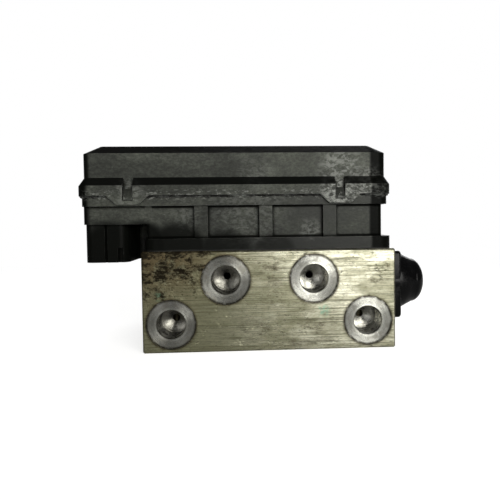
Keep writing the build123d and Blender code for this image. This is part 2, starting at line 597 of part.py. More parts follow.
for name, side in SIDES.items():
    section = Plane(origin=(0, 0, PUMP_Z), x_dir=(side, 0, 0), z_dir=(0, -side, 0))
    bore_axis = Axis((0, 0, PUMP_Z), (1, 0, 0))
    outward = (side, 0, 0)

    with BuildPart() as pump_sleeve:
        with BuildSketch(section):
            with BuildLine():
                Polyline(
                    (PUMP_FLOOR_X, PUMP_PISTON_R + PUMP_FIT),
                    (PUMP_FLOOR_X, PUMP_BORE_R),
                    (SLEEVE_END, PUMP_BORE_R),
                    (SLEEVE_END, PUMP_CHAMBER_R),
                    (GUIDE_END, PUMP_CHAMBER_R),
                    (GUIDE_END, PUMP_PISTON_R + PUMP_FIT),
                    close=True,
                )
            make_face()
        revolve(axis=bore_axis)
        with Locations(Plane(origin=(side * ACCUMULATOR_X, 0, PUMP_Z), z_dir=INTO_BLOCK)):
            Cylinder(PASSAGE_R, PUMP_BORE_R, align=BASE, mode=Mode.SUBTRACT)
    pump_sleeve.part.label = f"pump_sleeve_{name}"
    export_step(pump_sleeve.part, f"parts/pump_sleeve_{name}.step")

    with BuildPart() as pump_piston:
        with BuildSketch(section):
            with BuildLine():
                Polyline(
                    (NOSE_X, 0),
                    (NOSE_X, PUMP_NOSE_R),
                    (NOSE_X + PUMP_NOSE_LENGTH, PUMP_NOSE_R),
                    (NOSE_X + PUMP_NOSE_LENGTH, PUMP_PISTON_R),
                    (GUIDE_END, PUMP_PISTON_R),
                    (GUIDE_END, PUMP_COLLAR_R),
                    (GUIDE_END + PUMP_COLLAR_LENGTH, PUMP_COLLAR_R),
                    (GUIDE_END + PUMP_COLLAR_LENGTH, 0),
                    close=True,
                )
            make_face()
        revolve(axis=bore_axis)
    pump_piston.part.label = f"pump_piston_{name}"
    export_step(pump_piston.part, f"parts/pump_piston_{name}.step")

    spring_end = PUMP_SPRING_WIRE * SPRING_END_SHARE
    spring_start = GUIDE_END + PUMP_COLLAR_LENGTH + spring_end
    spring_length = PUMP_PLUG_FACE - spring_end - spring_start
    with BuildPart() as pump_spring:
        with BuildLine(Plane(origin=(side * spring_start, 0, PUMP_Z), z_dir=outward)) as wire:
            Polyline(*coil_corners(PUMP_SPRING_R, spring_length, PUMP_SPRING_TURNS))
        with BuildSketch(Plane(origin=wire.line @ 0, x_dir=outward, z_dir=wire.line % 0)):
            Rectangle(PUMP_SPRING_WIRE, PUMP_SPRING_WIRE)
        sweep(transition=Transition.RIGHT)
    pump_spring.part.label = f"pump_spring_{name}"
    export_step(pump_spring.part, f"parts/pump_spring_{name}.step")

    with BuildPart() as pump_plug:
        with Locations(Plane(origin=(side * PUMP_PLUG_FACE, 0, PUMP_Z), z_dir=outward)):
            Cylinder(PUMP_BORE_R, PUMP_PLUG_LENGTH, align=BASE)
        with BuildSketch(Plane(origin=(side * (PUMP_PLUG_FACE + PUMP_PLUG_LENGTH), 0, PUMP_Z), z_dir=outward)):
            RegularPolygon(PUMP_PLUG_SOCKET_R, 6)
        extrude(amount=-PUMP_PLUG_SOCKET_DEPTH, mode=Mode.SUBTRACT)
    pump_plug.part.label = f"pump_plug_{name}"
    export_step(pump_plug.part, f"parts/pump_plug_{name}.step")


# Snap fastenings stand at two places on each long side and in the middle of each short side.
# Each plane looks outward from the collar, with its origin at the top of the rim.
TAB_PLANES = [Plane(origin=(x, COLLAR_FRONT, RIM_TOP), x_dir=(1, 0, 0), z_dir=(0, -1, 0)) for x in TAB_X]
TAB_PLANES += [
    Plane(origin=(x, COLLAR_FRONT + FLANGE_DEPTH, RIM_TOP), x_dir=(-1, 0, 0), z_dir=(0, 1, 0)) for x in TAB_X
]
TAB_PLANES += [
    Plane(origin=(COLLAR_LEFT, MID_Y, RIM_TOP), x_dir=(0, -1, 0), z_dir=(-1, 0, 0)),
    Plane(origin=(COLLAR_LEFT + COLLAR_LENGTH, MID_Y, RIM_TOP), x_dir=(0, 1, 0), z_dir=(1, 0, 0)),
]

# Moulded lower housing: flange, ribbed wall, rim, overhang and connector shroud
with BuildPart() as ecu_housing:
    with BuildSketch(Plane.XY.offset(FLANGE_BOTTOM)):
        with Locations((0, MID_Y)):
            RectangleRounded(FLANGE_LENGTH, FLANGE_DEPTH, COLLAR_CORNER_R)
    extrude(amount=FLANGE_HEIGHT)
    with BuildSketch(Plane.XY.offset(FLANGE_TOP)):
        with Locations((WALL_MID_X, MID_Y)):
            RectangleRounded(WALL_LENGTH, WALL_DEPTH, WALL_CORNER_R)
            with GridLocations(RIB_PITCH, 0, RIB_COUNT, 1):
                Rectangle(RIB_WIDTH, WALL_DEPTH + 2 * RIB_PROUD)
        with Locations((WALL_RIGHT, MID_Y)):
            with GridLocations(0, RIB_PITCH, 1, END_RIB_COUNT):
                Rectangle(2 * RIB_PROUD, RIB_WIDTH)
    extrude(amount=LOWER_WALL_HEIGHT)
    with BuildSketch(Plane.XY.offset(RIM_BOTTOM)):
        with Locations((COLLAR_MID_X, MID_Y)):
            RectangleRounded(COLLAR_LENGTH - 2 * RIM_INSET, FLANGE_DEPTH - 2 * RIM_INSET, LID_CORNER_R)
    extrude(amount=RIM_HEIGHT)
    with BuildSketch(Plane.XY.offset(OVERHANG_BOTTOM)):
        with Locations(((OVERHANG_LEFT + WALL_LEFT + WALL_CORNER_R) / 2, MID_Y)):
            RectangleRounded(WALL_LEFT + WALL_CORNER_R - OVERHANG_LEFT, WALL_DEPTH, WALL_CORNER_R)
    extrude(amount=OVERHANG_HEIGHT)
    with BuildSketch(Plane.XY.offset(SHROUD_BOTTOM)):
        with Locations(SHROUD_MID):
            RectangleRounded(SHROUD_WIDTH, SHROUD_DEPTH, SHROUD_CORNER_R)
        with Locations(((SHROUD_RIGHT + BRACE_END - SHROUD_WALL / 2) / 2, SHROUD_FRONT + BRACE_SETBACK)):
            Rectangle(BRACE_END - SHROUD_RIGHT + SHROUD_WALL / 2, BRACE)
    extrude(amount=SHROUD_DROP)

    # Chambers for the coils, the board and the connector
    with BuildSketch(Plane.XY.offset(FLANGE_BOTTOM)):
        with Locations((WALL_MID_X, MID_Y)):
            Rectangle(WALL_LENGTH - 2 * WALL, CAVITY_DEPTH)
    extrude(amount=RIM_BOTTOM - FLANGE_BOTTOM, mode=Mode.SUBTRACT)
    with BuildSketch(Plane.XY.offset(PARTITION_TOP)):
        with Locations(((CAVITY_LEFT + CAVITY_RIGHT) / 2, MID_Y)):
            Rectangle(CAVITY_RIGHT - CAVITY_LEFT, CAVITY_DEPTH)
    extrude(amount=RIM_TOP - PARTITION_TOP, mode=Mode.SUBTRACT)
    with BuildSketch(Plane.XY.offset(OVERHANG_BOTTOM + WALL)):
        with Locations(((CAVITY_LEFT + WALL_LEFT) / 2, MID_Y)):
            Rectangle(WALL_LEFT - CAVITY_LEFT, CAVITY_DEPTH)
    extrude(amount=PARTITION_TOP - OVERHANG_BOTTOM - WALL, mode=Mode.SUBTRACT)
    with BuildSketch(Plane.XY.offset(SHROUD_BOTTOM)):
        with Locations(SHROUD_MID):
            Rectangle(SHROUD_WIDTH - 2 * SHROUD_WALL, SHROUD_DEPTH - 2 * SHROUD_WALL)
    extrude(amount=SHROUD_DROP, mode=Mode.SUBTRACT)

    # Groove and latch notch in the front of the shroud
    with BuildSketch(Plane.XY.offset(SHROUD_BOTTOM)):
        with Locations((SHROUD_LEFT + SHROUD_GROOVE_X, SHROUD_FRONT)):
            Rectangle(SHROUD_GROOVE, SHROUD_GROOVE * 2)
    extrude(amount=SHROUD_DROP, mode=Mode.SUBTRACT)
    with BuildSketch(Plane.XY.offset(SHROUD_BOTTOM)):
        with Locations((SHROUD_LEFT + SHROUD_NOTCH_X, SHROUD_FRONT)):
            Rectangle(SHROUD_NOTCH_WIDTH, SHROUD_GROOVE * 2)
    extrude(amount=SHROUD_NOTCH_HEIGHT, mode=Mode.SUBTRACT)

    # Screw towers, the chimney for the motor leads and the standoffs for the board
    with BuildSketch(Plane.XY.offset(FLANGE_BOTTOM)):
        with Locations(*ECU_SCREWS):
            Circle(TOWER_R)
    extrude(amount=RIM_BOTTOM - FLANGE_BOTTOM)
    with BuildSketch(Plane.XY.offset(BLOCK_HEIGHT - CHIMNEY_DEPTH)):
        with Locations((0, LEAD_Y)):
            Circle(CHIMNEY_R)
    extrude(amount=RIM_BOTTOM - BLOCK_HEIGHT + CHIMNEY_DEPTH)
    with BuildSketch(Plane.XY.offset(PARTITION_TOP)):
        with Locations(*STANDOFFS):
            Circle(STANDOFF_R)
    extrude(amount=STANDOFF)
    with Locations(*[(x, y, FLANGE_BOTTOM) for x, y in ECU_SCREWS]):
        Cylinder(
            ECU_SCREW_R + ECU_SCREW_CLEARANCE,
            PARTITION_TOP - FLANGE_BOTTOM,
            align=BASE,
            mode=Mode.SUBTRACT,
        )
    with Locations((0, LEAD_Y, BLOCK_HEIGHT - CHIMNEY_DEPTH)):
        Cylinder(
            CHIMNEY_BORE_R,
            PARTITION_TOP - BLOCK_HEIGHT + CHIMNEY_DEPTH,
            align=BASE,
            mode=Mode.SUBTRACT,
        )
    with BuildSketch(Plane.XY.offset(RIM_BOTTOM)):
        with Locations((0, -LEG_ROW), (0, LEG_ROW)):
            Rectangle(SLOT_LENGTH, LEG_SLOT)
    extrude(amount=PARTITION, mode=Mode.SUBTRACT)

    # Groove for the lid seal
    with BuildSketch(Plane.XY.offset(RIM_TOP - LID_SEAL_DEPTH)):
        with Locations((COLLAR_MID_X, MID_Y)):
            groove_inset = 2 * (RIM_INSET + LID_SEAL_INSET)
            Rectangle(COLLAR_LENGTH - groove_inset, FLANGE_DEPTH - groove_inset)
            Rectangle(
                COLLAR_LENGTH - groove_inset - 2 * LID_SEAL_WIDTH,
                FLANGE_DEPTH - groove_inset - 2 * LID_SEAL_WIDTH,
                mode=Mode.SUBTRACT,
            )
    extrude(amount=LID_SEAL_DEPTH, mode=Mode.SUBTRACT)

    # Holes for the moulded-in connector pins
    with BuildSketch(Plane.XY.offset(OVERHANG_BOTTOM)):
        with Locations(SHROUD_MID):
            with GridLocations(PIN_ROW_PITCH, PIN_PITCH, PIN_ROWS, PIN_COUNT):
                Rectangle(PIN_SIDE, PIN_SIDE)
    extrude(amount=WALL, mode=Mode.SUBTRACT)

    # Snap noses on the rim
    for plane in TAB_PLANES:
        out = plane.z_dir
        with BuildSketch(Plane(origin=plane.origin, x_dir=out, z_dir=out.cross(Vector(*UP)))):
            with BuildLine():
                Polyline(
                    (-RIM_INSET - NOSE_GAP, TAB_BAR + NOSE_GAP - TAB_DROP),
                    (-TAB_GAP, TAB_BAR + NOSE_GAP - TAB_DROP),
                    (-TAB_GAP, TAB_BAR + 3 * NOSE_GAP - TAB_DROP),
                    (-RIM_INSET, NOSE_RISE),
                    (-RIM_INSET - NOSE_GAP, NOSE_RISE),
                    close=True,
                )
            make_face()
        extrude(amount=WINDOW_WIDTH / 2 - NOSE_GAP, both=True)
ecu_housing.part.label = "ecu_housing"
export_step(ecu_housing.part, "parts/ecu_housing.step")

# Moulded lid: collar with snap tabs, slope, wall and bevelled crown
with BuildPart() as ecu_lid:
    with BuildSketch(Plane.XY.offset(RIM_TOP)):
        with Locations((COLLAR_MID_X, MID_Y)):
            RectangleRounded(COLLAR_LENGTH, FLANGE_DEPTH, COLLAR_CORNER_R)
    extrude(amount=COLLAR_HEIGHT)
    with BuildSketch(Plane.XY.offset(COLLAR_TOP)):
        with Locations((COLLAR_MID_X, MID_Y)):
            RectangleRounded(COLLAR_LENGTH, FLANGE_DEPTH, COLLAR_CORNER_R)
    with BuildSketch(Plane.XY.offset(SLOPE_TOP)):
        with Locations((COLLAR_MID_X, MID_Y)):
            RectangleRounded(COLLAR_LENGTH - 2 * COLLAR_PROUD, FLANGE_DEPTH - 2 * COLLAR_PROUD, LID_CORNER_R)
    loft(ruled=True)
    with BuildSketch(Plane.XY.offset(SLOPE_TOP)):
        with Locations((COLLAR_MID_X, MID_Y)):
            RectangleRounded(COLLAR_LENGTH - 2 * COLLAR_PROUD, FLANGE_DEPTH - 2 * COLLAR_PROUD, LID_CORNER_R)
    extrude(amount=LID_WALL_HEIGHT)
    crown_inset = 2 * (COLLAR_PROUD + CROWN_RUN)
    with BuildSketch(Plane.XY.offset(SHOULDER)):
        with Locations((COLLAR_MID_X, MID_Y)):
            RectangleRounded(COLLAR_LENGTH - 2 * COLLAR_PROUD, FLANGE_DEPTH - 2 * COLLAR_PROUD, LID_CORNER_R)
    with BuildSketch(Plane.XY.offset(LID_TOP)):
        with Locations((COLLAR_MID_X, MID_Y)):
            RectangleRounded(COLLAR_LENGTH - crown_inset, FLANGE_DEPTH - crown_inset, CROWN_CORNER_R)
    loft(ruled=True)

    # Hollow inside, with the crown at the thickness of the wall
    hollow_inset = 2 * (COLLAR_PROUD + WALL)
    with BuildSketch(Plane.XY.offset(RIM_TOP)):
        with Locations((COLLAR_MID_X, MID_Y)):
            Rectangle(COLLAR_LENGTH - hollow_inset, FLANGE_DEPTH - hollow_inset)
    extrude(amount=SHOULDER - WALL / 2 - RIM_TOP, mode=Mode.SUBTRACT)
    with BuildSketch(Plane.XY.offset(SHOULDER - WALL / 2)):
        with Locations((COLLAR_MID_X, MID_Y)):
            Rectangle(COLLAR_LENGTH - hollow_inset, FLANGE_DEPTH - hollow_inset)
    with BuildSketch(Plane.XY.offset(LID_TOP - WALL)):
        with Locations((COLLAR_MID_X, MID_Y)):
            Rectangle(
                COLLAR_LENGTH - crown_inset - WALL,
                FLANGE_DEPTH - crown_inset - WALL,
            )
    loft(ruled=True, mode=Mode.SUBTRACT)

    for plane in TAB_PLANES:
        with BuildSketch(plane):
            with BuildLine():
                Polyline(
                    (-TAB_TOP / 2, 0),
                    (-TAB_BOTTOM / 2, -TAB_DROP),
                    (TAB_BOTTOM / 2, -TAB_DROP),
                    (TAB_TOP / 2, 0),
                    close=True,
                )
            make_face()
        extrude(amount=TAB_GAP - RIM_INSET)
        with BuildSketch(plane):
            with Locations((0, TAB_BAR - TAB_DROP)):
                Rectangle(
                    WINDOW_WIDTH,
                    SLOPE_TOP - RIM_TOP + TAB_DROP - TAB_BAR,
                    align=(Align.CENTER, Align.MIN),
                )
        extrude(amount=-COLLAR_PROUD, mode=Mode.SUBTRACT)
ecu_lid.part.label = "ecu_lid"
export_step(ecu_lid.part, "parts/ecu_lid.step")

# Rubber seal between the rim and the lid, in the groove of the rim
with BuildPart() as lid_seal:
    with BuildSketch(Plane.XY.offset(RIM_TOP - LID_SEAL_DEPTH)):
        with Locations((COLLAR_MID_X, MID_Y)):
            Rectangle(COLLAR_LENGTH - groove_inset, FLANGE_DEPTH - groove_inset)
            Rectangle(
                COLLAR_LENGTH - groove_inset - 2 * LID_SEAL_WIDTH,
                FLANGE_DEPTH - groove_inset - 2 * LID_SEAL_WIDTH,
                mode=Mode.SUBTRACT,
            )
    extrude(amount=LID_SEAL_DEPTH)
lid_seal.part.label = "lid_seal"
export_step(lid_seal.part, "parts/lid_seal.step")

# Rubber gasket between the block and the flange of the housing
with BuildPart() as housing_gasket:
    with BuildSketch(Plane.XY.offset(BLOCK_HEIGHT)):
        with Locations((0, MID_Y)):
            RectangleRounded(FLANGE_LENGTH, FLANGE_DEPTH, COLLAR_CORNER_R)
            Rectangle(FLANGE_LENGTH - 2 * GASKET_WIDTH, FLANGE_DEPTH - 2 * GASKET_WIDTH, mode=Mode.SUBTRACT)
    extrude(amount=GASKET)
housing_gasket.part.label = "housing_gasket"
export_step(housing_gasket.part, "parts/housing_gasket.step")

# Circuit board on the standoffs, and what is soldered to it
with BuildPart() as circuit_board:
    with BuildSketch(Plane.XY.offset(BOARD_BOTTOM)):
        with Locations(((BOARD_LEFT + BOARD_RIGHT) / 2, MID_Y)):
            Rectangle(BOARD_RIGHT - BOARD_LEFT, BOARD_DEPTH)
    extrude(amount=BOARD)
circuit_board.part.label = "circuit_board"
export_step(circuit_board.part, "parts/circuit_board.step")

for name, y in (("motor_relay", MID_Y - RELAY_SPAN / 2), ("valve_relay", MID_Y + RELAY_SPAN / 2)):
    with BuildPart() as relay:
        with BuildSketch(Plane.XY.offset(BOARD_TOP)):
            with Locations((RELAY_X + RELAY_WIDTH / 2, y)):
                Rectangle(RELAY_WIDTH, RELAY_LENGTH)
        extrude(amount=RELAY_HEIGHT)
        fillet(relay.edges().filter_by(Axis.Z), BLOCK_EDGE)
    relay.part.label = name
    export_step(relay.part, f"parts/{name}.step")

with BuildPart() as capacitor:
    with Locations((CAPACITOR_X, MID_Y, BOARD_TOP)):
        Cylinder(CAPACITOR_R, CAPACITOR_HEIGHT, align=BASE)
    chamfer(capacitor.edges().sort_by(Axis.Z)[-1], BLOCK_EDGE)
capacitor.part.label = "capacitor"
export_step(capacitor.part, "parts/capacitor.step")

with BuildPart() as controller_chip:
    with Locations((CHIP_X, MID_Y, BOARD_TOP)):
        Box(CHIP_SIDE, CHIP_SIDE, CHIP_HEIGHT, align=BASE)
controller_chip.part.label = "controller_chip"
export_step(controller_chip.part, "parts/controller_chip.step")

with BuildPart() as connector_pins:
    with BuildSketch(Plane.XY.offset(SHROUD_BOTTOM + PIN_RECESS)):
        with Locations(SHROUD_MID):
            with GridLocations(PIN_ROW_PITCH, PIN_PITCH, PIN_ROWS, PIN_COUNT):
                Rectangle(PIN_SIDE, PIN_SIDE)
    extrude(amount=BOARD_BOTTOM - SHROUD_BOTTOM - PIN_RECESS)
connector_pins.part.label = "connector_pins"
export_step(connector_pins.part, "parts/connector_pins.step")

with BuildPart() as motor_terminals:
    with BuildSketch(Plane.XY.offset(BLOCK_HEIGHT - CHIMNEY_DEPTH + LEAD_BLADE_RECESS)):
        with Locations((0, LEAD_Y)):
            with GridLocations(LEAD_BLADE_SPAN, 0, 2, 1):
                Rectangle(LEAD_BLADE, LEAD_BLADE_WIDTH)
    extrude(amount=BOARD_BOTTOM - BLOCK_HEIGHT + CHIMNEY_DEPTH - LEAD_BLADE_RECESS)
motor_terminals.part.label = "motor_terminals"
export_step(motor_terminals.part, "parts/motor_terminals.step")

# Four screws that hold the control unit down on the block
with BuildPart() as ecu_screws:
    with Locations(*[(x, y, BLOCK_HEIGHT - ECU_SCREW_GRIP) for x, y in ECU_SCREWS]):
        Cylinder(ECU_SCREW_R, PARTITION_TOP - BLOCK_HEIGHT + ECU_SCREW_GRIP, align=BASE)
    with Locations(*[(x, y, PARTITION_TOP) for x, y in ECU_SCREWS]):
        Cylinder(ECU_SCREW_HEAD_R, ECU_SCREW_HEAD, align=BASE)
ecu_screws.part.label = "ecu_screws"
export_step(ecu_screws.part, "parts/ecu_screws.step")


# Mounting isolator: a rubber dome bonded to the plate of a screwed stud
isolator_section = Plane(origin=(BLOCK_END, ISOLATOR_Y, ISOLATOR_Z), x_dir=(1, 0, 0), z_dir=(0, -1, 0))
isolator_axis = Axis((BLOCK_END, ISOLATOR_Y, ISOLATOR_Z), (1, 0, 0))

with BuildPart() as isolator_stud:
    with Locations(Plane(origin=(BLOCK_END, ISOLATOR_Y, ISOLATOR_Z), z_dir=(-1, 0, 0))):
        Cylinder(STUD_R, STUD_DEPTH, align=BASE)
    with Locations(Plane(origin=(BLOCK_END, ISOLATOR_Y, ISOLATOR_Z), z_dir=(1, 0, 0))):
        Cylinder(STUD_R, STUD_PLATE_INSET, align=BASE)
        with Locations((0, 0, STUD_PLATE_INSET)):
            Cylinder(STUD_PLATE_R, STUD_PLATE, align=BASE)
isolator_stud.part.label = "isolator_stud"
export_step(isolator_stud.part, "parts/isolator_stud.step")

dome_centre = ISOLATOR_REACH - ISOLATOR_DOME_R
dome_start = ISOLATOR_SHOULDER - dome_centre
dome_heights = [
    dome_start + (ISOLATOR_DOME_R - dome_start) * (1 - (1 - step / ISOLATOR_DOME_STEPS) ** 2)
    for step in range(ISOLATOR_DOME_STEPS + 1)
]
dome_corners = [(dome_centre + h, (ISOLATOR_DOME_R**2 - h**2) ** 0.5) for h in dome_heights]

with BuildPart() as isolator_rubber:
    with BuildSketch(isolator_section):
        with BuildLine():
            Polyline((0, 0), (0, ISOLATOR_DOME_FOOT_R), (ISOLATOR_FLANGE, ISOLATOR_DOME_FOOT_R), *dome_corners, (0, 0))
        make_face()
    revolve(axis=isolator_axis)
    with BuildSketch(Plane(origin=(BLOCK_END, ISOLATOR_Y, ISOLATOR_Z - ISOLATOR_FLANGE_DROP), z_dir=(1, 0, 0))):
        Circle(ISOLATOR_FLANGE_R)
    flange = extrude(amount=ISOLATOR_FLANGE)
    chamfer(flange.edges().sort_by(Axis.X)[-1], ISOLATOR_EDGE)
    with Locations(Plane(origin=(BLOCK_END, ISOLATOR_Y, ISOLATOR_Z), z_dir=(1, 0, 0))):
        Cylinder(STUD_R, STUD_PLATE_INSET, align=BASE, mode=Mode.SUBTRACT)
        with Locations((0, 0, STUD_PLATE_INSET)):
            Cylinder(STUD_PLATE_R, STUD_PLATE, align=BASE, mode=Mode.SUBTRACT)
isolator_rubber.part.label = "isolator_rubber"
export_step(isolator_rubber.part, "parts/isolator_rubber.step")
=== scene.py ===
"""Dresses an anti-lock brake module: a milled valve block under a moulded control unit.

Lengths in the classes are millimetres in the frame of the CAD model. X runs along the row of
ports, Y goes into the block from the port face, and Z points up to the lid.
"""

import logging
import math
from collections.abc import Sequence
from dataclasses import dataclass, field
from enum import Enum
from typing import Protocol

import bmesh
import bpy
from mathutils import Matrix, Vector, noise


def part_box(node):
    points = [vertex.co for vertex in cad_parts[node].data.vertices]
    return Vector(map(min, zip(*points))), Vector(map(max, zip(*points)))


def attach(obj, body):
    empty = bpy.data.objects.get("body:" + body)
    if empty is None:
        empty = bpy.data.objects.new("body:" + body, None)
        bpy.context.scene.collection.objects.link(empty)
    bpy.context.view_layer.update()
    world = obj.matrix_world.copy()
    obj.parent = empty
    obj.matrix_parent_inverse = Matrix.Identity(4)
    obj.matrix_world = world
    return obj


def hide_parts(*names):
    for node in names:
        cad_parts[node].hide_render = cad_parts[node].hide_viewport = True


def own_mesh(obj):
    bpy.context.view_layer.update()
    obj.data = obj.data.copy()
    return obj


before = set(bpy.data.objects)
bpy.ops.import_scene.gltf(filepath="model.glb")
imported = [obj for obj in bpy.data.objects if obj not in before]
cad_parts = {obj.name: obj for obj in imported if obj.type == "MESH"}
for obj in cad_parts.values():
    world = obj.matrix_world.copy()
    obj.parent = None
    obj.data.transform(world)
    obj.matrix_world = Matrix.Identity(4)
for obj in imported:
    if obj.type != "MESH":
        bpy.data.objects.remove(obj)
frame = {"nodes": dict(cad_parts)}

FIXED_BODY = "module"

# One millimetre in metres, and how near in millimetres two corners are when they are merged.
MM = 0.001
WELD = 0.001
# An edge that bends by more than this looks sharp.
SHARP_ANGLE = math.radians(34.0)
# An edge that climbs by less than this in millimetres is level.
LEVEL = 0.1
# How well a softened normal agrees with the true one, away from edges and on one.
FLAT_COSINE = 0.99
EDGE_COSINE = 0.86
# How much of the air a surface sees, out in the open and deep in a corner.
OPEN_AIR = 0.95
CORNER_AIR = 0.35
# The factor on each coordinate of a pattern that isn't stretched.
PLAIN = (1.0, 1.0, 1.0)

Colour = tuple[float, float, float]
Point = tuple[float, float, float]
Profile = list[tuple[float, float]]
Nodes = dict[str, bpy.types.Object]
Input = bpy.types.NodeSocket | float | Colour

log = logging.getLogger("brake_module")


class Axis(Enum):
    """A direction in the frame that a turned piece looks along, from its root outwards."""

    FORWARD = (0.0, -1.0, 0.0)
    BACKWARD = (0.0, 1.0, 0.0)
    LEFT = (-1.0, 0.0, 0.0)
    RIGHT = (1.0, 0.0, 0.0)
    DOWN = (0.0, 0.0, -1.0)

    def letter(self) -> str:
        """Names the frame's axis that the direction lies along."""
        return "XYZ"[[abs(part) for part in self.value].index(1.0)]


# ---------------------------------------------------------------------------------------------
# Node trees
# ---------------------------------------------------------------------------------------------


def shade(colour: Colour, factor: float) -> Colour:
    """Makes a colour lighter or darker.

    Args:
        colour: The colour.
        factor: What each of its parts is multiplied by.

    Returns:
        The new colour, with no part over 1.
    """
    return tuple(min(1.0, part * factor) for part in colour)


class NodeGraph:
    """Writes one node tree, one step at a time."""

    def __init__(self, tree: bpy.types.NodeTree) -> None:
        """Starts on a tree.

        Args:
            tree: The tree that is written.
        """
        self.nodes = tree.nodes
        self.links = tree.links

    def feed(self, socket: bpy.types.NodeSocket, source: Input) -> None:
        """Links or sets one input.

        Args:
            socket: The input.
            source: An output socket, a number, or a colour or vector of three numbers.
        """
        if isinstance(source, bpy.types.NodeSocket):
            self.links.new(source, socket)
        elif isinstance(source, tuple) and socket.type == "RGBA":
            socket.default_value = (*source, 1.0)
        else:
            socket.default_value = source

    def vector(
        self, operation: str, first: Input, second: Input = (0.0, 0.0, 0.0)
    ) -> bpy.types.NodeSocket:
        """Adds one step of vector arithmetic.

        Args:
            operation: The name of the operation, as the node has it.
            first: The first vector.
            second: The second vector.

        Returns:
            The result, which is a number for a length or a dot product.
        """
        node = self.nodes.new("ShaderNodeVectorMath")
        node.operation = operation
        self.feed(node.inputs[0], first)
        self.feed(node.inputs[1], second)
        return node.outputs["Value" if operation in ("LENGTH", "DOT_PRODUCT") else "Vector"]

    def part(self, vector: bpy.types.NodeSocket, axis: str) -> bpy.types.NodeSocket:
        """Reads one part of a vector.

        Args:
            vector: The vector.
            axis: X, Y or Z.

        Returns:
            The part along that axis.
        """
        node = self.nodes.new("ShaderNodeSeparateXYZ")
        self.feed(node.inputs[0], vector)
        return node.outputs[axis]

    def step(
        self, value: Input, low: float, high: float, to_low: float = 0.0, to_high: float = 1.0
    ) -> bpy.types.NodeSocket:
        """Remaps a value smoothly and holds it between the two ends.

        Args:
            value: What is remapped.
            low: The value that gives to_low.
            high: The value that gives to_high.
            to_low: The result at low.
            to_high: The result at high.

        Returns:
            The remapped value.
        """
        node = self.nodes.new("ShaderNodeMapRange")
        node.interpolation_type = "SMOOTHSTEP"
        for socket, number in zip(node.inputs, (value, low, high, to_low, to_high)):
            self.feed(socket, number)
        return node.outputs["Result"]

    def maths(self, operation: str, first: Input, second: Input = 0.0) -> bpy.types.NodeSocket:
        """Adds one step of arithmetic.

        Args:
            operation: The name of the operation, as the math node has it.
            first: The first number.
            second: The second number.

        Returns:
            The result.
        """
        node = self.nodes.new("ShaderNodeMath")
        node.operation = operation
        self.feed(node.inputs[0], first)
        self.feed(node.inputs[1], second)
        return node.outputs["Value"]

    def without(self, value: Input) -> bpy.types.NodeSocket:
        """Takes a value away from 1."""
        return self.maths("SUBTRACT", 1.0, value)

    def unsigned(self, value: Input) -> bpy.types.NodeSocket:
        """Drops the sign of a value."""
        return self.maths("ABSOLUTE", value)

    def times(self, *factors: Input) -> bpy.types.NodeSocket:
        """Multiplies several values together.

        Args:
            factors: The values.

        Returns:
            The product.
        """
        result = factors[0]
        for factor in factors[1:]:
            result = self.maths("MULTIPLY", result, factor)
        return result

    def most(self, *values: Input) -> bpy.types.NodeSocket:
        """Takes the largest of several values.

        Args:
            values: The values.

        Returns:
            The largest of them.
        """
        result = values[0]
        for value in values[1:]:
            result = self.maths("MAXIMUM", result, value)
        return result

    def mix(self, amount: Input, under: Input, over: Input) -> bpy.types.NodeSocket:
        """Lays one colour over another.

        Args:
            amount: How much of the upper colour shows, from 0 to 1.
            under: The lower colour.
            over: The upper colour.

        Returns:
            The mixed colour.
        """
        node = self.nodes.new("ShaderNodeMix")
        node.data_type = "RGBA"
        self.feed(node.inputs["Factor"], amount)
        self.feed(node.inputs[6], under)
        self.feed(node.inputs[7], over)
        return node.outputs[2]

    def layered(self, colour: Input, *layers: tuple[Input, Input]) -> Input:
        """Lays several colours over one another in turn.

        Args:
            colour: The lowest colour.
            layers: How much of each further colour shows, and the colour.

        Returns:
            The mixed colour.
        """
        for amount, over in layers:
            colour = self.mix(amount, colour, over)
        return colour


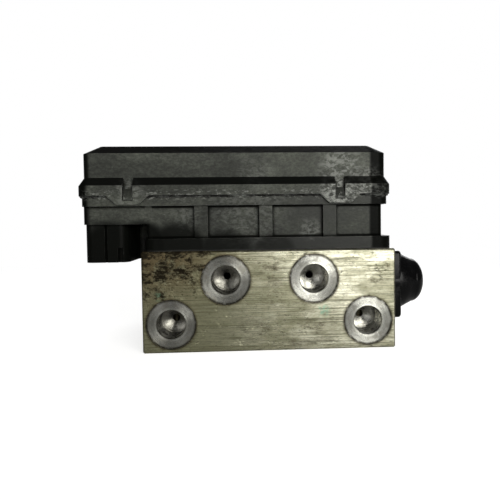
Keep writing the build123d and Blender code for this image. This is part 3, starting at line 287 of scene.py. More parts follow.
class ShaderGraph(NodeGraph):
    """Writes the node tree of one material, on Object coordinates."""

    def __init__(self, name: str) -> None:
        """Starts a material with its shader and its coordinates.

        Args:
            name: The material's name.
        """
        self.material = bpy.data.materials.new(name)
        self.material.use_nodes = True
        super().__init__(self.material.node_tree)
        self.shader = self.nodes["Principled BSDF"]
        self.place = self.nodes.new("ShaderNodeTexCoord").outputs["Object"]
        self.normal = self.nodes.new("ShaderNodeNewGeometry").outputs["Normal"]

    def noise(
        self,
        size: float,
        detail: float = 4.0,
        roughness: float = 0.55,
        distortion: float = 0.0,
        stretch: Point = PLAIN,
    ) -> bpy.types.NodeSocket:
        """Adds a noise texture.

        Args:
            size: The size of its largest features in millimetres.
            detail: How many finer octaves it has.
            roughness: How strong the finer octaves are.
            distortion: How far it is swirled.
            stretch: The factor on each coordinate. The pattern runs long where it is low.

        Returns:
            The noise's value, around 0.5.
        """
        node = self.nodes.new("ShaderNodeTexNoise")
        self.feed(node.inputs["Vector"], self.vector("MULTIPLY", self.place, stretch))
        self.feed(node.inputs["Scale"], 1.0 / (size * MM))
        self.feed(node.inputs["Detail"], detail)
        self.feed(node.inputs["Roughness"], roughness)
        self.feed(node.inputs["Distortion"], distortion)
        return node.outputs["Fac"]

    def rings(self, radius: bpy.types.NodeSocket, width: float) -> bpy.types.NodeSocket:
        """Adds rings of noise about an axis.

        Args:
            radius: The distance from the axis in millimetres.
            width: The width of a ring in millimetres.

        Returns:
            The noise's value, around 0.5.
        """
        node = self.nodes.new("ShaderNodeTexNoise")
        node.noise_dimensions = "1D"
        self.feed(node.inputs["W"], radius)
        self.feed(node.inputs["Scale"], 1.0 / width)
        self.feed(node.inputs["Detail"], 3.0)
        return node.outputs["Fac"]

    def cells(self, size: float, stretch: Point = PLAIN) -> bpy.types.NodeSocket:
        """Adds a cell texture.

        Args:
            size: The size of a cell in millimetres.
            stretch: The factor on each coordinate.

        Returns:
            The distance to the nearest cell centre.
        """
        node = self.nodes.new("ShaderNodeTexVoronoi")
        self.feed(node.inputs["Vector"], self.vector("MULTIPLY", self.place, stretch))
        self.feed(node.inputs["Scale"], 1.0 / (size * MM))
        return node.outputs["Distance"]

    def offset(self, centre: Point) -> bpy.types.NodeSocket:
        """Gives the way from a point in millimetres to the surface, in metres."""
        return self.vector("SUBTRACT", self.place, tuple(Vector(centre) * MM))

    def from_point(self, centre: Point, keep: Point = PLAIN) -> bpy.types.NodeSocket:
        """Measures the distance from a point, or from an axis through it.

        Args:
            centre: The point in millimetres.
            keep: How much each axis counts, with 0 for one that doesn't.

        Returns:
            The distance in millimetres.
        """
        scaled = self.vector("MULTIPLY", self.offset(centre), tuple(part / MM for part in keep))
        return self.vector("LENGTH", scaled)

    def along(self, axis: str) -> bpy.types.NodeSocket:
        """Reads the coordinate along X, Y or Z in millimetres."""
        return self.maths("DIVIDE", self.part(self.place, axis), MM)

    def from_height(self, height: float) -> bpy.types.NodeSocket:
        """Measures how far above or below a height the surface is, in millimetres."""
        return self.unsigned(self.maths("SUBTRACT", self.along("Z"), height))

    def facing(self, axis: str) -> bpy.types.NodeSocket:
        """Reads how far the surface faces along one axis, from -1 to 1."""
        return self.part(self.normal, axis)

    def turned_along(self, axis: str) -> bpy.types.NodeSocket:
        """Reads how far the surface faces either way along one axis, from 0 to 1."""
        return self.unsigned(self.facing(axis))

    def edges(self, radius: float) -> bpy.types.NodeSocket:
        """Finds the convex and concave edges, where handling wears a surface and where the block is painted
        dark as shade.

        Args:
            radius: How far from an edge it reaches, in millimetres.

        Returns:
            1 on an edge and 0 away from it.
        """
        node = self.nodes.new("ShaderNodeBevel")
        node.samples = 4
        self.feed(node.inputs["Radius"], radius * MM)
        flat = self.vector("DOT_PRODUCT", node.outputs["Normal"], self.normal)
        return self.step(flat, FLAT_COSINE, EDGE_COSINE)

    def corners(self, reach: float) -> bpy.types.NodeSocket:
        """Finds inner corners, where dirt collects and where shade falls.

        Args:
            reach: How far out of a corner it reaches, in millimetres.

        Returns:
            1 deep in a corner and 0 in the open.
        """
        node = self.nodes.new("ShaderNodeAmbientOcclusion")
        node.samples = 6
        node.only_local = True
        self.feed(node.inputs["Distance"], reach * MM)
        return self.step(node.outputs["AO"], OPEN_AIR, CORNER_AIR)

    def bump(self, height: Input, depth: float, strength: float = 1.0) -> None:
        """Raises the surface by a height, over what earlier calls raised.

        Args:
            height: The height, from 0 to 1.
            depth: What a height of 1 stands for, in millimetres.
            strength: How much of it shows.
        """
        node = self.nodes.new("ShaderNodeBump")
        self.feed(node.inputs["Height"], height)
        self.feed(node.inputs["Distance"], depth * MM)
        self.feed(node.inputs["Strength"], strength)
        if self.shader.inputs["Normal"].is_linked:
            self.feed(node.inputs["Normal"], self.shader.inputs["Normal"].links[0].from_socket)
        self.feed(self.shader.inputs["Normal"], node.outputs["Normal"])

    def surface(self, **inputs: Input) -> bpy.types.Material:
        """Feeds the shader and hands back the material.

        Args:
            inputs: The shader's inputs by name, with underscores for spaces.

        Returns:
            The finished material.
        """
        for name, source in inputs.items():
            self.feed(self.shader.inputs[name.replace("_", " ").title().replace("Ior", "IOR")], source)
        return self.material


# ---------------------------------------------------------------------------------------------
# Finishes
# ---------------------------------------------------------------------------------------------


class Finish(Protocol):
    """What every finish can do."""

    def build(self, name: str) -> bpy.types.Material:
        """Makes the material under a name."""


@dataclass(frozen=True)
class MilledAluminium:
    """Milled and handled aluminium with cutter lines, stains and corrosion pits, and painted shade: darker
    towards the left, along its edges, in its corners and round the spot faces.

    Attributes:
        clean: The bare metal.
        stained: The metal under old oil and oxide.
        rot_and_shade: The pits that corrosion ate, and the dark that paints shade along the edges, in the
            corners and round the spot faces.
        ink: Old marking ink.
        fine_line: The width of the finest cutter lines in millimetres.
        broad_line: The width of the broad ones.
        corner: Where corrosion is worst.
        pitted: How far from that corner the pits thin out, and where they are thickest.
        crusted: How far from it the brown crust ends, and where it is full.
        shaded: Where the painted shade along X begins and where it is full, which darkens the face towards
            the left.
        spot_centres: The middle of each spot face.
        spot_radius: The radius of a spot face, round which dirt collects and shade is painted.
        ink_marks: Where faint ink is left, with the radius of each mark.
        scuffs: Where the face is knocked and filed, with the reach of each place.
    """

    clean: Colour = (0.92, 0.90, 0.73)
    stained: Colour = (0.215, 0.212, 0.130)
    rot_and_shade: Colour = (0.011, 0.0085, 0.0045)
    ink: Colour = (0.10, 0.36, 0.25)
    fine_line: float = 0.50
    broad_line: float = 2.2
    corner: Point = (-46.5, -42.0, 37.0)
    pitted: tuple[float, float] = (50.0, 10.0)
    crusted: tuple[float, float] = (54.0, 12.0)
    shaded: tuple[float, float] = (42.0, -30.0)
    spot_centres: tuple[Point, ...] = ()
    spot_radius: float = 9.1
    ink_marks: tuple[tuple[Point, float], ...] = ()
    scuffs: tuple[tuple[Point, Point], ...] = ()

    def cutter_lines(self, graph: ShaderGraph, size: float) -> bpy.types.NodeSocket:
        """Lays lines along X, and along Y on the two ends.

        Args:
            graph: The material being written.
            size: The width of the lines in millimetres.

        Returns:
            The height of the lines.
        """
        along_x = graph.noise(size, 4.0, 0.7, stretch=(0.014, 1.0, 1.0))
        along_y = graph.noise(size, 4.0, 0.7, stretch=(1.0, 0.014, 1.0))
        end = graph.step(graph.turned_along("X"), 0.4, 0.6)
        return graph.maths("ADD", graph.times(along_x, graph.without(end)), graph.times(along_y, end))

    def near_corner(self, graph: ShaderGraph, reach: tuple[float, float]) -> bpy.types.NodeSocket:
        """Marks the frayed area round the worst corner.

        Args:
            graph: The material being written.
            reach: The distance at which the area ends, and the one within which it is full.

        Returns:
            1 close to the corner and 0 beyond the area.
        """
        from_corner = graph.from_point(self.corner, keep=(0.9, 0.35, 1.5))
        frayed = graph.maths("ADD", from_corner, graph.times(graph.noise(8.0, 4.0), 16.0))
        return graph.step(frayed, *reach)

    def pits(self, graph: ShaderGraph) -> bpy.types.NodeSocket:
        """Spreads pits, thick near the worst corner and thin elsewhere.

        Args:
            graph: The material being written.

        Returns:
            1 in a pit and 0 on sound metal.
        """
        near = self.near_corner(graph, self.pitted)
        grain = graph.noise(2.8, 7.0, 0.74, stretch=(0.7, 0.7, 1.1))
        lifted = graph.maths("ADD", grain, graph.times(near, 0.19))
        eaten = graph.step(lifted, 0.575, 0.715)
        patch = graph.step(graph.noise(12.0, 3.0), 0.46, 0.62)
        specks = graph.noise(0.75, 3.0, 0.6, stretch=(0.5, 0.5, 1.2))
        scattered = graph.times(graph.step(specks, 0.57, 0.67), patch, 0.75)
        return graph.most(eaten, scattered)

    def crust(self, graph: ShaderGraph) -> bpy.types.NodeSocket:
        """Grows a brown crust round the worst corner.

        Args:
            graph: The material being written.

        Returns:
            1 where it is thick and 0 where there is none.
        """
        flakes = graph.noise(6.5, 7.0, 0.76, stretch=(0.9, 0.9, 0.8))
        thick = graph.step(flakes, 0.38, 0.52, 0.35, 1.0)
        return graph.times(self.near_corner(graph, self.crusted), thick)

    def scuffed(self, graph: ShaderGraph) -> bpy.types.NodeSocket:
        """Marks the places where the face was knocked and filed.

        Args:
            graph: The material being written.

        Returns:
            1 in a nick and 0 on sound metal.
        """
        found: Input = 0.0
        nick = graph.step(graph.noise(2.3, 7.0, 0.80, stretch=(0.45, 0.45, 1.0)), 0.47, 0.62)
        for place, reach in self.scuffs:
            away = graph.from_point(place, keep=tuple(1.0 / part for part in reach))
            found = graph.most(found, graph.times(graph.step(away, 1.2, 0.1), nick))
        return found

    def ring_dirt_and_shade(self, graph: ShaderGraph) -> bpy.types.NodeSocket:
        """Marks the dark ring round the spot faces, which is dirt and painted shade at the edge of each spot
        face.

        Args:
            graph: The material being written.

        Returns:
            How much of it shows, from 0 to 1.
        """
        ring: Input = 0.0
        for centre in self.spot_centres:
            radius = graph.from_point(centre, keep=(1.0, 0.0, 1.0))
            ragged = graph.maths("ADD", radius, graph.times(graph.noise(1.6, 3.0), 0.9))
            ring = graph.most(ring, graph.step(ragged, self.spot_radius + 1.5, self.spot_radius + 0.3))
        front = graph.step(graph.facing("Y"), -0.3, -0.6)
        gaps = graph.step(graph.noise(2.4, 3.0), 0.30, 0.50, 0.45, 0.95)
        return graph.times(ring, front, gaps, 0.8)

    def inked(self, graph: ShaderGraph, colour: Input) -> Input:
        """Leaves faint marks of ink.

        Args:
            graph: The material being written.
            colour: The colour under the ink.

        Returns:
            The colour with the marks.
        """
        for place, radius in self.ink_marks:
            near = graph.step(graph.from_point(place), radius, radius * 0.3)
            worn = graph.step(graph.noise(1.6, 4.0), 0.46, 0.58)
            colour = graph.mix(graph.times(near, worn, 0.45), colour, self.ink)
        return colour

    def build(self, name: str) -> bpy.types.Material:
        """Makes the material.

        Args:
            name: The material's name.

        Returns:
            The material.
        """
        graph = ShaderGraph(name)
        fine = self.cutter_lines(graph, self.fine_line)
        broad = self.cutter_lines(graph, self.broad_line)
        grit = graph.noise(0.42, 3.0, 0.7, stretch=(0.35, 0.35, 1.0))
        pits = self.pits(graph)
        crust = self.crust(graph)
        # Painted shade: the face is darkened towards the left, where the lamps' reflection is weaker.
        film = graph.step(graph.along("X"), *self.shaded)
        blotch = graph.step(graph.noise(16.0, 6.0, 0.66, 0.4, stretch=(0.6, 0.6, 1.2)), 0.40, 0.62)
        smear = graph.step(graph.noise(4.0, 6.0, 0.72, stretch=(0.35, 0.35, 1.2)), 0.44, 0.62)
        # Painted shade: a thin dark line along the edges, broken by noise.
        rubbed = graph.times(graph.edges(0.5), graph.step(graph.noise(3.0, 4.0), 0.30, 0.55, 0.3, 1.0))
        # Dirt and painted shade in the inner corners.
        dirt = graph.times(graph.corners(3.0), graph.step(graph.noise(3.0, 4.0), 0.35, 0.6))
        groove = shade(self.stained, 0.4)
        colour = graph.layered(
            self.clean,
            (graph.times(film, 0.95), self.stained),
            (graph.times(blotch, 0.74), self.stained),
            (graph.times(smear, 0.62), shade(self.stained, 0.8)),
            (graph.step(broad, 0.47, 0.62, 0.0, 0.50), self.stained),
            (graph.step(fine, 0.49, 0.60, 0.0, 0.70), groove),
            (graph.step(grit, 0.50, 0.66, 0.0, 0.50), groove),
        )
        colour = graph.layered(
            self.inked(graph, colour),
            (self.ring_dirt_and_shade(graph), shade(self.rot_and_shade, 4.0)),
            (crust, shade(self.rot_and_shade, 8.0)),
            (graph.times(rubbed, 0.85), shade(self.rot_and_shade, 2.0)),
            (graph.times(dirt, 0.7), self.rot_and_shade),
            (graph.times(self.scuffed(graph), 0.74), shade(self.rot_and_shade, 4.0)),
            (pits, self.rot_and_shade),
        )
        dull = graph.maths("ADD", graph.step(fine, 0.35, 0.7, 0.25, 0.42), graph.times(blotch, 0.08))
        graph.bump(broad, 0.035, 0.6)
        graph.bump(fine, 0.04, 0.8)
        graph.bump(graph.noise(8.0, 3.0), 0.12, 0.35)
        graph.bump(graph.without(pits), 0.12, 0.5)
        graph.bump(crust, 0.30, 0.7)
        return graph.surface(
            base_color=colour,
            metallic=graph.step(pits, 0.2, 0.8, 0.94, 0.15),
            specular_ior_level=graph.step(pits, 0.1, 0.7, 0.5, 0.04),
            roughness=graph.maths("ADD", dull, graph.times(pits, 0.35)),
        )


@dataclass(frozen=True)
class TurnedMetal:
    """Metal cut on a lathe or by a drill, with rings about its axis.

    Attributes:
        centre: A point on the axis.
        axis: The direction of the axis.
        colour: The bare metal.
        grime_and_shade: What is left in the grooves, and the dark that paints shade in the corners, at the
            edge of the spot face and in the hole.
        roughness: How dull the bare metal is.
        ring: The width of the cutter's rings in millimetres.
        dirt: How much of it dirty patches and spots cover, from 0 to 1.
        rim: The radius of the spot face's edge, which is darkened with dirt and painted shade, or nothing.
        mouth: The radius of the hole, whose walls are painted dark as shade, or nothing.
        streak: How much its rings draw reflections out, from 0 to 1.
    """

    centre: Point
    axis: Axis
    colour: Colour = (0.66, 0.66, 0.63)
    grime_and_shade: Colour = (0.10, 0.09, 0.065)
    roughness: float = 0.30
    ring: float = 0.22
    dirt: float = 0.30
    rim: float = 0.0
    mouth: float = 0.0
    streak: float = 0.0

    def port_face(self, graph: ShaderGraph, radius: bpy.types.NodeSocket, colour: Input) -> Input:
        """Darkens the edge of a spot face with dirt and painted shade, paints a highlight on the lip of its
        hole and paints shade inside the hole.

        Args:
            graph: The material being written.
            radius: The distance from the axis.
            colour: The colour under it.

        Returns:
            The colour with the edge and the lip.
        """
        gaps = graph.step(graph.noise(2.0, 3.0), 0.30, 0.52, 0.35, 0.95)
        # Dirt and painted shade at the edge of the spot face.
        edge = graph.times(graph.step(radius, self.rim - 1.1, self.rim - 0.25), gaps)
        # A painted highlight on the lip of the hole.
        lip = graph.step(radius, self.mouth + 1.0, self.mouth + 0.2, 0.0, 0.35)
        # Painted shade inside the hole.
        within = graph.step(radius, self.mouth - 0.05, self.mouth - 0.35)
        return graph.layered(
            colour,
            (edge, shade(self.grime_and_shade, 0.35)),
            (lip, shade(self.colour, 1.9)),
            (graph.times(within, 0.45), self.grime_and_shade),
        )

    def build(self, name: str) -> bpy.types.Material:
        """Makes the material.

        Args:
            name: The material's name.

        Returns:
            The material.
        """
        graph = ShaderGraph(name)
        across = tuple(1.0 - abs(part) for part in self.axis.value)
        radius = graph.from_point(self.centre, keep=across)
        cut = graph.rings(radius, self.ring)
        patch = graph.step(graph.noise(3.2, 5.0, 0.6, 0.4), 0.44, 0.66)
        spots = graph.step(graph.noise(0.6, 3.0), 0.62, 0.70)
        colour = graph.layered(
            self.colour,
            (graph.times(patch, self.dirt), self.grime_and_shade),
            # Dirt and painted shade in the inner corners.
            (graph.times(graph.corners(1.4), 0.8), self.grime_and_shade),
            (graph.times(spots, self.dirt), self.grime_and_shade),
        )
        if self.rim:
            colour = self.port_face(graph, radius, colour)
        if self.mouth:
            # Painted shade on the walls of the hole.
            wall = graph.step(graph.turned_along(self.axis.letter()), 0.5, 0.1)
            colour = graph.mix(graph.times(wall, 0.72), colour, shade(self.grime_and_shade, 0.5))
        graph.bump(cut, 0.03, 0.7)
        graph.bump(graph.noise(0.35, 3.0), 0.012, 0.4)
        worn = graph.maths("ADD", cut, graph.times(patch, 0.4))
        return graph.surface(
            base_color=colour,
            metallic=0.95,
            anisotropic=self.streak,
            tangent=graph.vector("MULTIPLY", graph.offset(self.centre), across),
            roughness=graph.step(worn, 0.35, 0.95, self.roughness, self.roughness + 0.22),
        )


@dataclass(frozen=True)
class PlatedSteel:
    """Drawn, ground or plated metal with a fine grain and small tarnish spots.

    Attributes:
        colour: The metal.
        tarnish: The colour of its spots.
        roughness: How dull it is.
        grain: The size of its grain in millimetres.
        stretch: The direction of its grain, lowest along it.
    """

    colour: Colour = (0.52, 0.52, 0.51)
    tarnish: Colour = (0.20, 0.16, 0.11)
    roughness: float = 0.32
    grain: float = 0.35
    stretch: Point = (1.0, 1.0, 0.05)

    def build(self, name: str) -> bpy.types.Material:
        """Makes the material.

        Args:
            name: The material's name.

        Returns:
            The material.
        """
        graph = ShaderGraph(name)
        drawn = graph.noise(self.grain, 4.0, stretch=self.stretch)
        spot = graph.step(graph.noise(1.8, 5.0), 0.58, 0.68)
        film = graph.step(graph.noise(6.0, 4.0), 0.35, 0.7, 0.0, 0.35)
        colour = graph.layered(
            self.colour,
            (film, shade(self.colour, 0.7)),
            (graph.times(spot, 0.5), self.tarnish),
            # Darker in the inner corners.
            (graph.times(graph.corners(1.0), 0.6), self.tarnish),
        )
        graph.bump(drawn, 0.015, 0.6)
        graph.bump(graph.noise(2.5, 3.0), 0.03, 0.3)
        return graph.surface(
            base_color=colour,
            metallic=0.95,
            roughness=graph.step(drawn, 0.3, 0.75, self.roughness, self.roughness + 0.18),
        )


@dataclass(frozen=True)
class Worn:
    """A round place on a moulding that is rubbed, and also one that is painted dark as shade.

    Attributes:
        place: Its middle.
        radius: How far it reaches.
        amount: How strongly it shows, from 0 to 1.
    """

    place: Point
    radius: float
    amount: float


@dataclass(frozen=True)
class MouldedPlastic:
    """Glass-filled black plastic with mottled dust and rubbed edges, and painted shade on its slopes and
    ends, in its corners, along shadow lines on its walls and under the overhang.

    Attributes:
        colour: The clean plastic.
        dust: The dust on it.
        rubbed: The colour of rubbed edges.
        roughness: How dull the clean plastic is.
        dusty: How much dust lies on it, from 0 to 1.
        worn: The places that are rubbed most.
        shaded_places: The places under the overhang that stay free of dust and are painted dark as shade.
        frayed: The height of a seam whose edges are chipped, or nothing.
        shaded_ends: The places along X beyond which no dust lies and the rounded ends are painted dark as
            shade.
        shadow_lines: The heights at which a painted shadow line runs along the walls.
        shadow_line_from: Where along X those lines begin.
        shadow_line_behind: Where along Y they begin, which is behind the front of the ribs.
        low: The height below which little dust lies, or nothing.
    """

    colour: Colour = (0.0065, 0.0072, 0.0058)
    dust: Colour = (0.118, 0.126, 0.104)
    rubbed: Colour = (0.30, 0.31, 0.285)
    roughness: float = 0.34
    dusty: float = 0.62
    worn: tuple[Worn, ...] = ()
    shaded_places: tuple[Worn, ...] = ()
    frayed: float = 0.0
    shaded_ends: tuple[float, float] = (-65.4, 37.9)
    shadow_lines: tuple[float, ...] = ()
    shadow_line_from: float = -42.5
    shadow_line_behind: tuple[float, float] = (-39.1, -38.6)
    low: float = 0.0

    def rubs(self, graph: ShaderGraph) -> bpy.types.NodeSocket:
        """Marks the edges and the places that are rubbed pale.

        Args:
            graph: The material being written.

        Returns:
            1 where it is rubbed bare and 0 where it isn't.
        """
        broken = graph.step(graph.noise(3.0, 5.0), 0.40, 0.62)
        bare: Input = graph.times(graph.edges(0.4), broken, 0.22)
        torn = graph.step(graph.noise(1.5, 6.0, 0.72, 0.4, stretch=(0.7, 0.7, 1.1)), 0.44, 0.60)
        for worn in self.worn:
            near = graph.step(graph.from_point(worn.place), worn.radius, worn.radius * 0.25)
            bare = graph.most(bare, graph.times(near, torn, worn.amount))
        if self.frayed:
            near = graph.step(graph.from_height(self.frayed), 2.2, 0.4)
            fleck = graph.step(graph.noise(0.9, 4.0, 0.7, stretch=(0.6, 0.6, 1.2)), 0.54, 0.62)
            bare = graph.most(bare, graph.times(near, fleck, 0.42))
        return bare

    def clear(self, graph: ShaderGraph) -> bpy.types.NodeSocket:
        """Marks where the moulding stays clean of dust and is painted dark as shade: its rounded ends and the
        places under the overhang.

        Args:
            graph: The material being written.

        Returns:
            1 where no dust lies and 0 where it can.
        """
        left, right = self.shaded_ends
        beyond_left = graph.step(graph.along("X"), left + 1.0, left - 1.2)
        beyond_right = graph.step(graph.along("X"), right - 0.6, right + 0.6)
        turned_away = graph.step(graph.turned_along("X"), 0.95, 0.7, 0.35, 1.0)
        clear: Input = graph.times(graph.most(beyond_left, beyond_right), turned_away)
        for place in self.shaded_places:
            inside = graph.step(graph.from_point(place.place), place.radius, place.radius * 0.7)
            clear = graph.most(clear, graph.times(inside, place.amount))
        return clear

    def film(self, graph: ShaderGraph, clear: bpy.types.NodeSocket) -> bpy.types.NodeSocket:
        """Spreads mottled dust on the walls and on the flat top.

        Args:
            graph: The material being written.
            clear: Where the moulding stays clean.

        Returns:
            1 where the dust is thick and 0 where there is none.
        """
        cloud = graph.noise(17.0, 6.0, 0.62, 0.4, stretch=(0.7, 0.7, 1.2))
        mottle = graph.noise(0.9, 6.0, 0.80, 0.2, stretch=(0.7, 0.7, 1.1))
        # Little dust on slopes and on faces turned along X, which keeps them dark as painted shade.
        wall = graph.step(graph.turned_along("Z"), 0.52, 0.2, 0.06, 1.0)
        top = graph.step(graph.facing("Z"), 0.86, 0.95, 0.0, 0.75)
        film = graph.times(
            graph.step(cloud, 0.36, 0.66, 0.28, 1.0),
            graph.step(mottle, 0.38, 0.64, 0.42, 1.0),
            graph.most(wall, top),
            graph.step(graph.turned_along("X"), 0.5, 0.15, 0.12, 1.0),
        )
        if self.low:
            film = graph.times(film, graph.step(graph.along("Z"), self.low - 0.6, self.low + 0.6, 0.14, 1.0))
        return graph.times(film, graph.without(clear))

    def corner_shades(self, graph: ShaderGraph) -> bpy.types.NodeSocket:
        """Marks the inner corners and the shadow lines along the walls, where shade is painted.

        Args:
            graph: The material being written.

        Returns:
            1 in a corner or on a shadow line, and 0 in the open.
        """
        # Painted shade in the inner corners.
        corner_shade = graph.step(graph.corners(1.8), 0.05, 0.55)
        for height in self.shadow_lines:
            # A painted shadow line along the walls at each height.
            line = graph.step(graph.from_height(height), 0.65, 0.30)
            behind_ribs = graph.step(graph.along("Y"), *self.shadow_line_behind)
            over_block = graph.step(graph.along("X"), self.shadow_line_from - 1.0, self.shadow_line_from)
            corner_shade = graph.most(corner_shade, graph.times(line, behind_ribs, over_block))
        return corner_shade

    def build(self, name: str) -> bpy.types.Material:
        """Makes the material.

        Args:
            name: The material's name.

        Returns:
            The material.
        """
        graph = ShaderGraph(name)
        clear = self.clear(graph)
        film = self.film(graph, clear)
        rubs = self.rubs(graph)
        corner_shade = self.corner_shades(graph)
        scratch = graph.step(graph.noise(0.42, 2.0, 0.5, 1.4, stretch=(0.10, 0.10, 1.0)), 0.67, 0.73)
        # Slopes that face up are painted darker, as shade.
        sloping = graph.step(graph.facing("Z"), 0.25, 0.62, 0.0, 0.97)
        slope_shade = graph.times(sloping, graph.step(graph.facing("Z"), 0.95, 0.86))
        painted_shade_tone = shade(self.colour, 0.3)
        colour = graph.layered(
            self.colour,
            (graph.times(film, self.dusty), self.dust),
            (graph.times(scratch, film, 0.3), self.rubbed),
            (rubs, self.rubbed),
            # Painted shade on the ends and under the overhang, on slopes that face up, in the corners and
            # along the shadow lines.
            (graph.times(clear, 0.75), painted_shade_tone),
            (slope_shade, shade(self.colour, 0.4)),
            (graph.times(corner_shade, 0.94), painted_shade_tone),
        )
        graph.bump(graph.noise(22.0, 2.0), 0.55, 0.30)
        graph.bump(graph.noise(3.4, 4.0, 0.6), 0.12, 0.45)
        graph.bump(graph.noise(1.1, 5.0, 0.7), 0.06, 0.55)
        graph.bump(graph.noise(0.22, 2.0), 0.018, 0.5)
        graph.bump(rubs, 0.05, 0.5)
        shine = graph.times(
            graph.times(graph.without(graph.times(corner_shade, 0.9)), 0.17),
            graph.without(graph.times(clear, 0.85)),
            graph.step(graph.facing("Z"), 0.9, 0.3, 0.35, 1.0),
        )
        return graph.surface(
            base_color=colour,
            roughness=graph.step(film, 0.0, 0.7, self.roughness, self.roughness + 0.26),
            specular_ior_level=shine,
        )


@dataclass(frozen=True)
class MouldedRubber:
    """Black rubber, glossy or dull, with a little bloom.

    Attributes:
        colour: The rubber.
        bloom: The grey film on it.
        roughness: How dull it is.
        haze: How much bloom shows, from 0 to 1.
    """

    colour: Colour = (0.0022, 0.0022, 0.0024)
    bloom: Colour = (0.018, 0.019, 0.019)
    roughness: float = 0.16
    haze: float = 0.06

    def build(self, name: str) -> bpy.types.Material:
        """Makes the material.

        Args:
            name: The material's name.

        Returns:
            The material.
        """
        graph = ShaderGraph(name)
        film = graph.step(graph.noise(4.5, 6.0, 0.66, 0.5), 0.46, 0.70)
        specks = graph.step(graph.noise(0.55, 3.0), 0.66, 0.72)
        colour = graph.layered(
            self.colour,
            (graph.times(film, self.haze), self.bloom),
            (graph.times(specks, self.haze), self.bloom),
        )
        graph.bump(graph.noise(3.0, 4.0), 0.10, 0.35)
        graph.bump(graph.noise(0.3, 3.0), 0.012, 0.4)
        return graph.surface(
            base_color=colour,
            roughness=graph.step(film, 0.0, 1.0, self.roughness, self.roughness + 0.22),
            specular_ior_level=0.12,
        )


@dataclass(frozen=True)
class WoundCoil:
    """A solenoid coil: enamelled wire in its window, between a plated case above and below.

    Attributes:
        low: Where the winding starts.
        high: Where the winding ends.
        wire: The thickness of the wire.
        lip: The height over which the case gives way to the winding.
        enamel: The colour of the enamelled wire.
        case: The colour of the plated case.
    """

    low: float
    high: float
    wire: float = 0.42
    lip: float = 0.1
    enamel: Colour = (0.42, 0.16, 0.07)
    case: Colour = (0.50, 0.49, 0.44)

    def build(self, name: str) -> bpy.types.Material:
        """Makes the material.

        Args:
            name: The material's name.

        Returns:
            The material.
        """
        graph = ShaderGraph(name)
        height = graph.along("Z")
        above = graph.step(height, self.low, self.low + self.lip)
        below = graph.step(height, self.high, self.high - self.lip)
        wound = graph.times(above, below)
        turn = graph.maths("PINGPONG", height, self.wire / 2)
        groove = graph.step(turn, 0.0, self.wire / 2)
        tint = graph.step(graph.noise(1.5, 4.0), 0.3, 0.7, 0.0, 0.45)
        wire = graph.mix(tint, self.enamel, shade(self.enamel, 0.5))
        case = graph.mix(tint, self.case, shade(self.case, 0.7))
        graph.bump(graph.times(groove, wound), 0.12, 0.8)
        graph.bump(graph.noise(0.4, 3.0), 0.02, 0.4)
        return graph.surface(
            base_color=graph.mix(wound, case, wire),
            metallic=0.85,
            roughness=graph.step(wound, 0.0, 1.0, 0.36, 0.26),
        )


@dataclass(frozen=True)
class PrintedBoard:
    """A green circuit board with copper tracks under its lacquer, and tinned pads.

    Attributes:
        lacquer: The lacquer over bare board.
        track: The lacquer over copper.
        solder: The tinned pads.
    """

    lacquer: Colour = (0.012, 0.085, 0.030)
    track: Colour = (0.035, 0.170, 0.060)
    solder: Colour = (0.62, 0.62, 0.60)

    def build(self, name: str) -> bpy.types.Material:
        """Makes the material.

        Args:
            name: The material's name.

        Returns:
            The material.
        """
        graph = ShaderGraph(name)
        maze = graph.cells(3.2, stretch=(1.0, 0.35, 1.0))
        fine = graph.cells(1.3, stretch=(0.25, 1.0, 1.0))
        tracks = graph.most(graph.step(maze, 0.46, 0.52), graph.step(fine, 0.62, 0.68))
        pads = graph.step(graph.cells(2.9), 0.17, 0.13)
        graph.bump(graph.maths("ADD", tracks, pads), 0.04, 0.6)
        graph.bump(graph.noise(0.5, 3.0), 0.01, 0.4)
        return graph.surface(
            base_color=graph.layered(self.lacquer, (tracks, self.track), (pads, self.solder)),
            metallic=pads,
            roughness=graph.step(graph.noise(5.0, 4.0), 0.3, 0.7, 0.22, 0.38),
        )


@dataclass(frozen=True)
class Resin:
    """A moulded plastic or fibre part with a fine grain.

    Attributes:
        colour: The resin.
        roughness: How dull it is.
        grain: The size of its grain in millimetres.
    """

    colour: Colour
    roughness: float = 0.45
    grain: float = 0.3

    def build(self, name: str) -> bpy.types.Material:
        """Makes the material.

        Args:
            name: The material's name.

        Returns:
            The material.
        """
        graph = ShaderGraph(name)
        cloud = graph.step(graph.noise(5.0, 5.0), 0.3, 0.7, 0.0, 0.5)
        gloss = graph.step(graph.noise(1.2, 4.0), 0.3, 0.7, self.roughness, self.roughness + 0.15)
        graph.bump(graph.noise(self.grain, 4.0), 0.025, 0.5)
        graph.bump(graph.noise(3.0, 3.0), 0.05, 0.3)
        return graph.surface(
            base_color=graph.mix(cloud, self.colour, shade(self.colour, 0.62)),
            roughness=gloss,
        )


# ---------------------------------------------------------------------------------------------
# Mesh tools
# ---------------------------------------------------------------------------------------------


def box_shape(size: Sequence[float], centre: Sequence[float] = (0.0, 0.0, 0.0)) -> bmesh.types.BMesh:
    """Makes a plain box.

    Args:
        size: Its size along each axis.
        centre: Its middle.

    Returns:
        The box, in millimetres.
    """
    shape = bmesh.new()
    bmesh.ops.create_cube(shape, size=1.0)
    bmesh.ops.scale(shape, vec=size, verts=shape.verts)
    bmesh.ops.translate(shape, vec=centre, verts=shape.verts)
    return shape


def round_edges(
    shape: bmesh.types.BMesh, edges: Sequence[bmesh.types.BMEdge], radius: float, segments: int
) -> None:
    """Rounds some edges of a shape.

    Args:
        shape: The shape.
        edges: The edges.
        radius: The radius they get.
        segments: How many faces go round each.
    """
    bmesh.ops.bevel(
        shape,
        geom=edges,
        offset=radius,
        offset_type="OFFSET",
        affect="EDGES",
        segments=segments,
        profile=0.5,
        material=-1,
    )


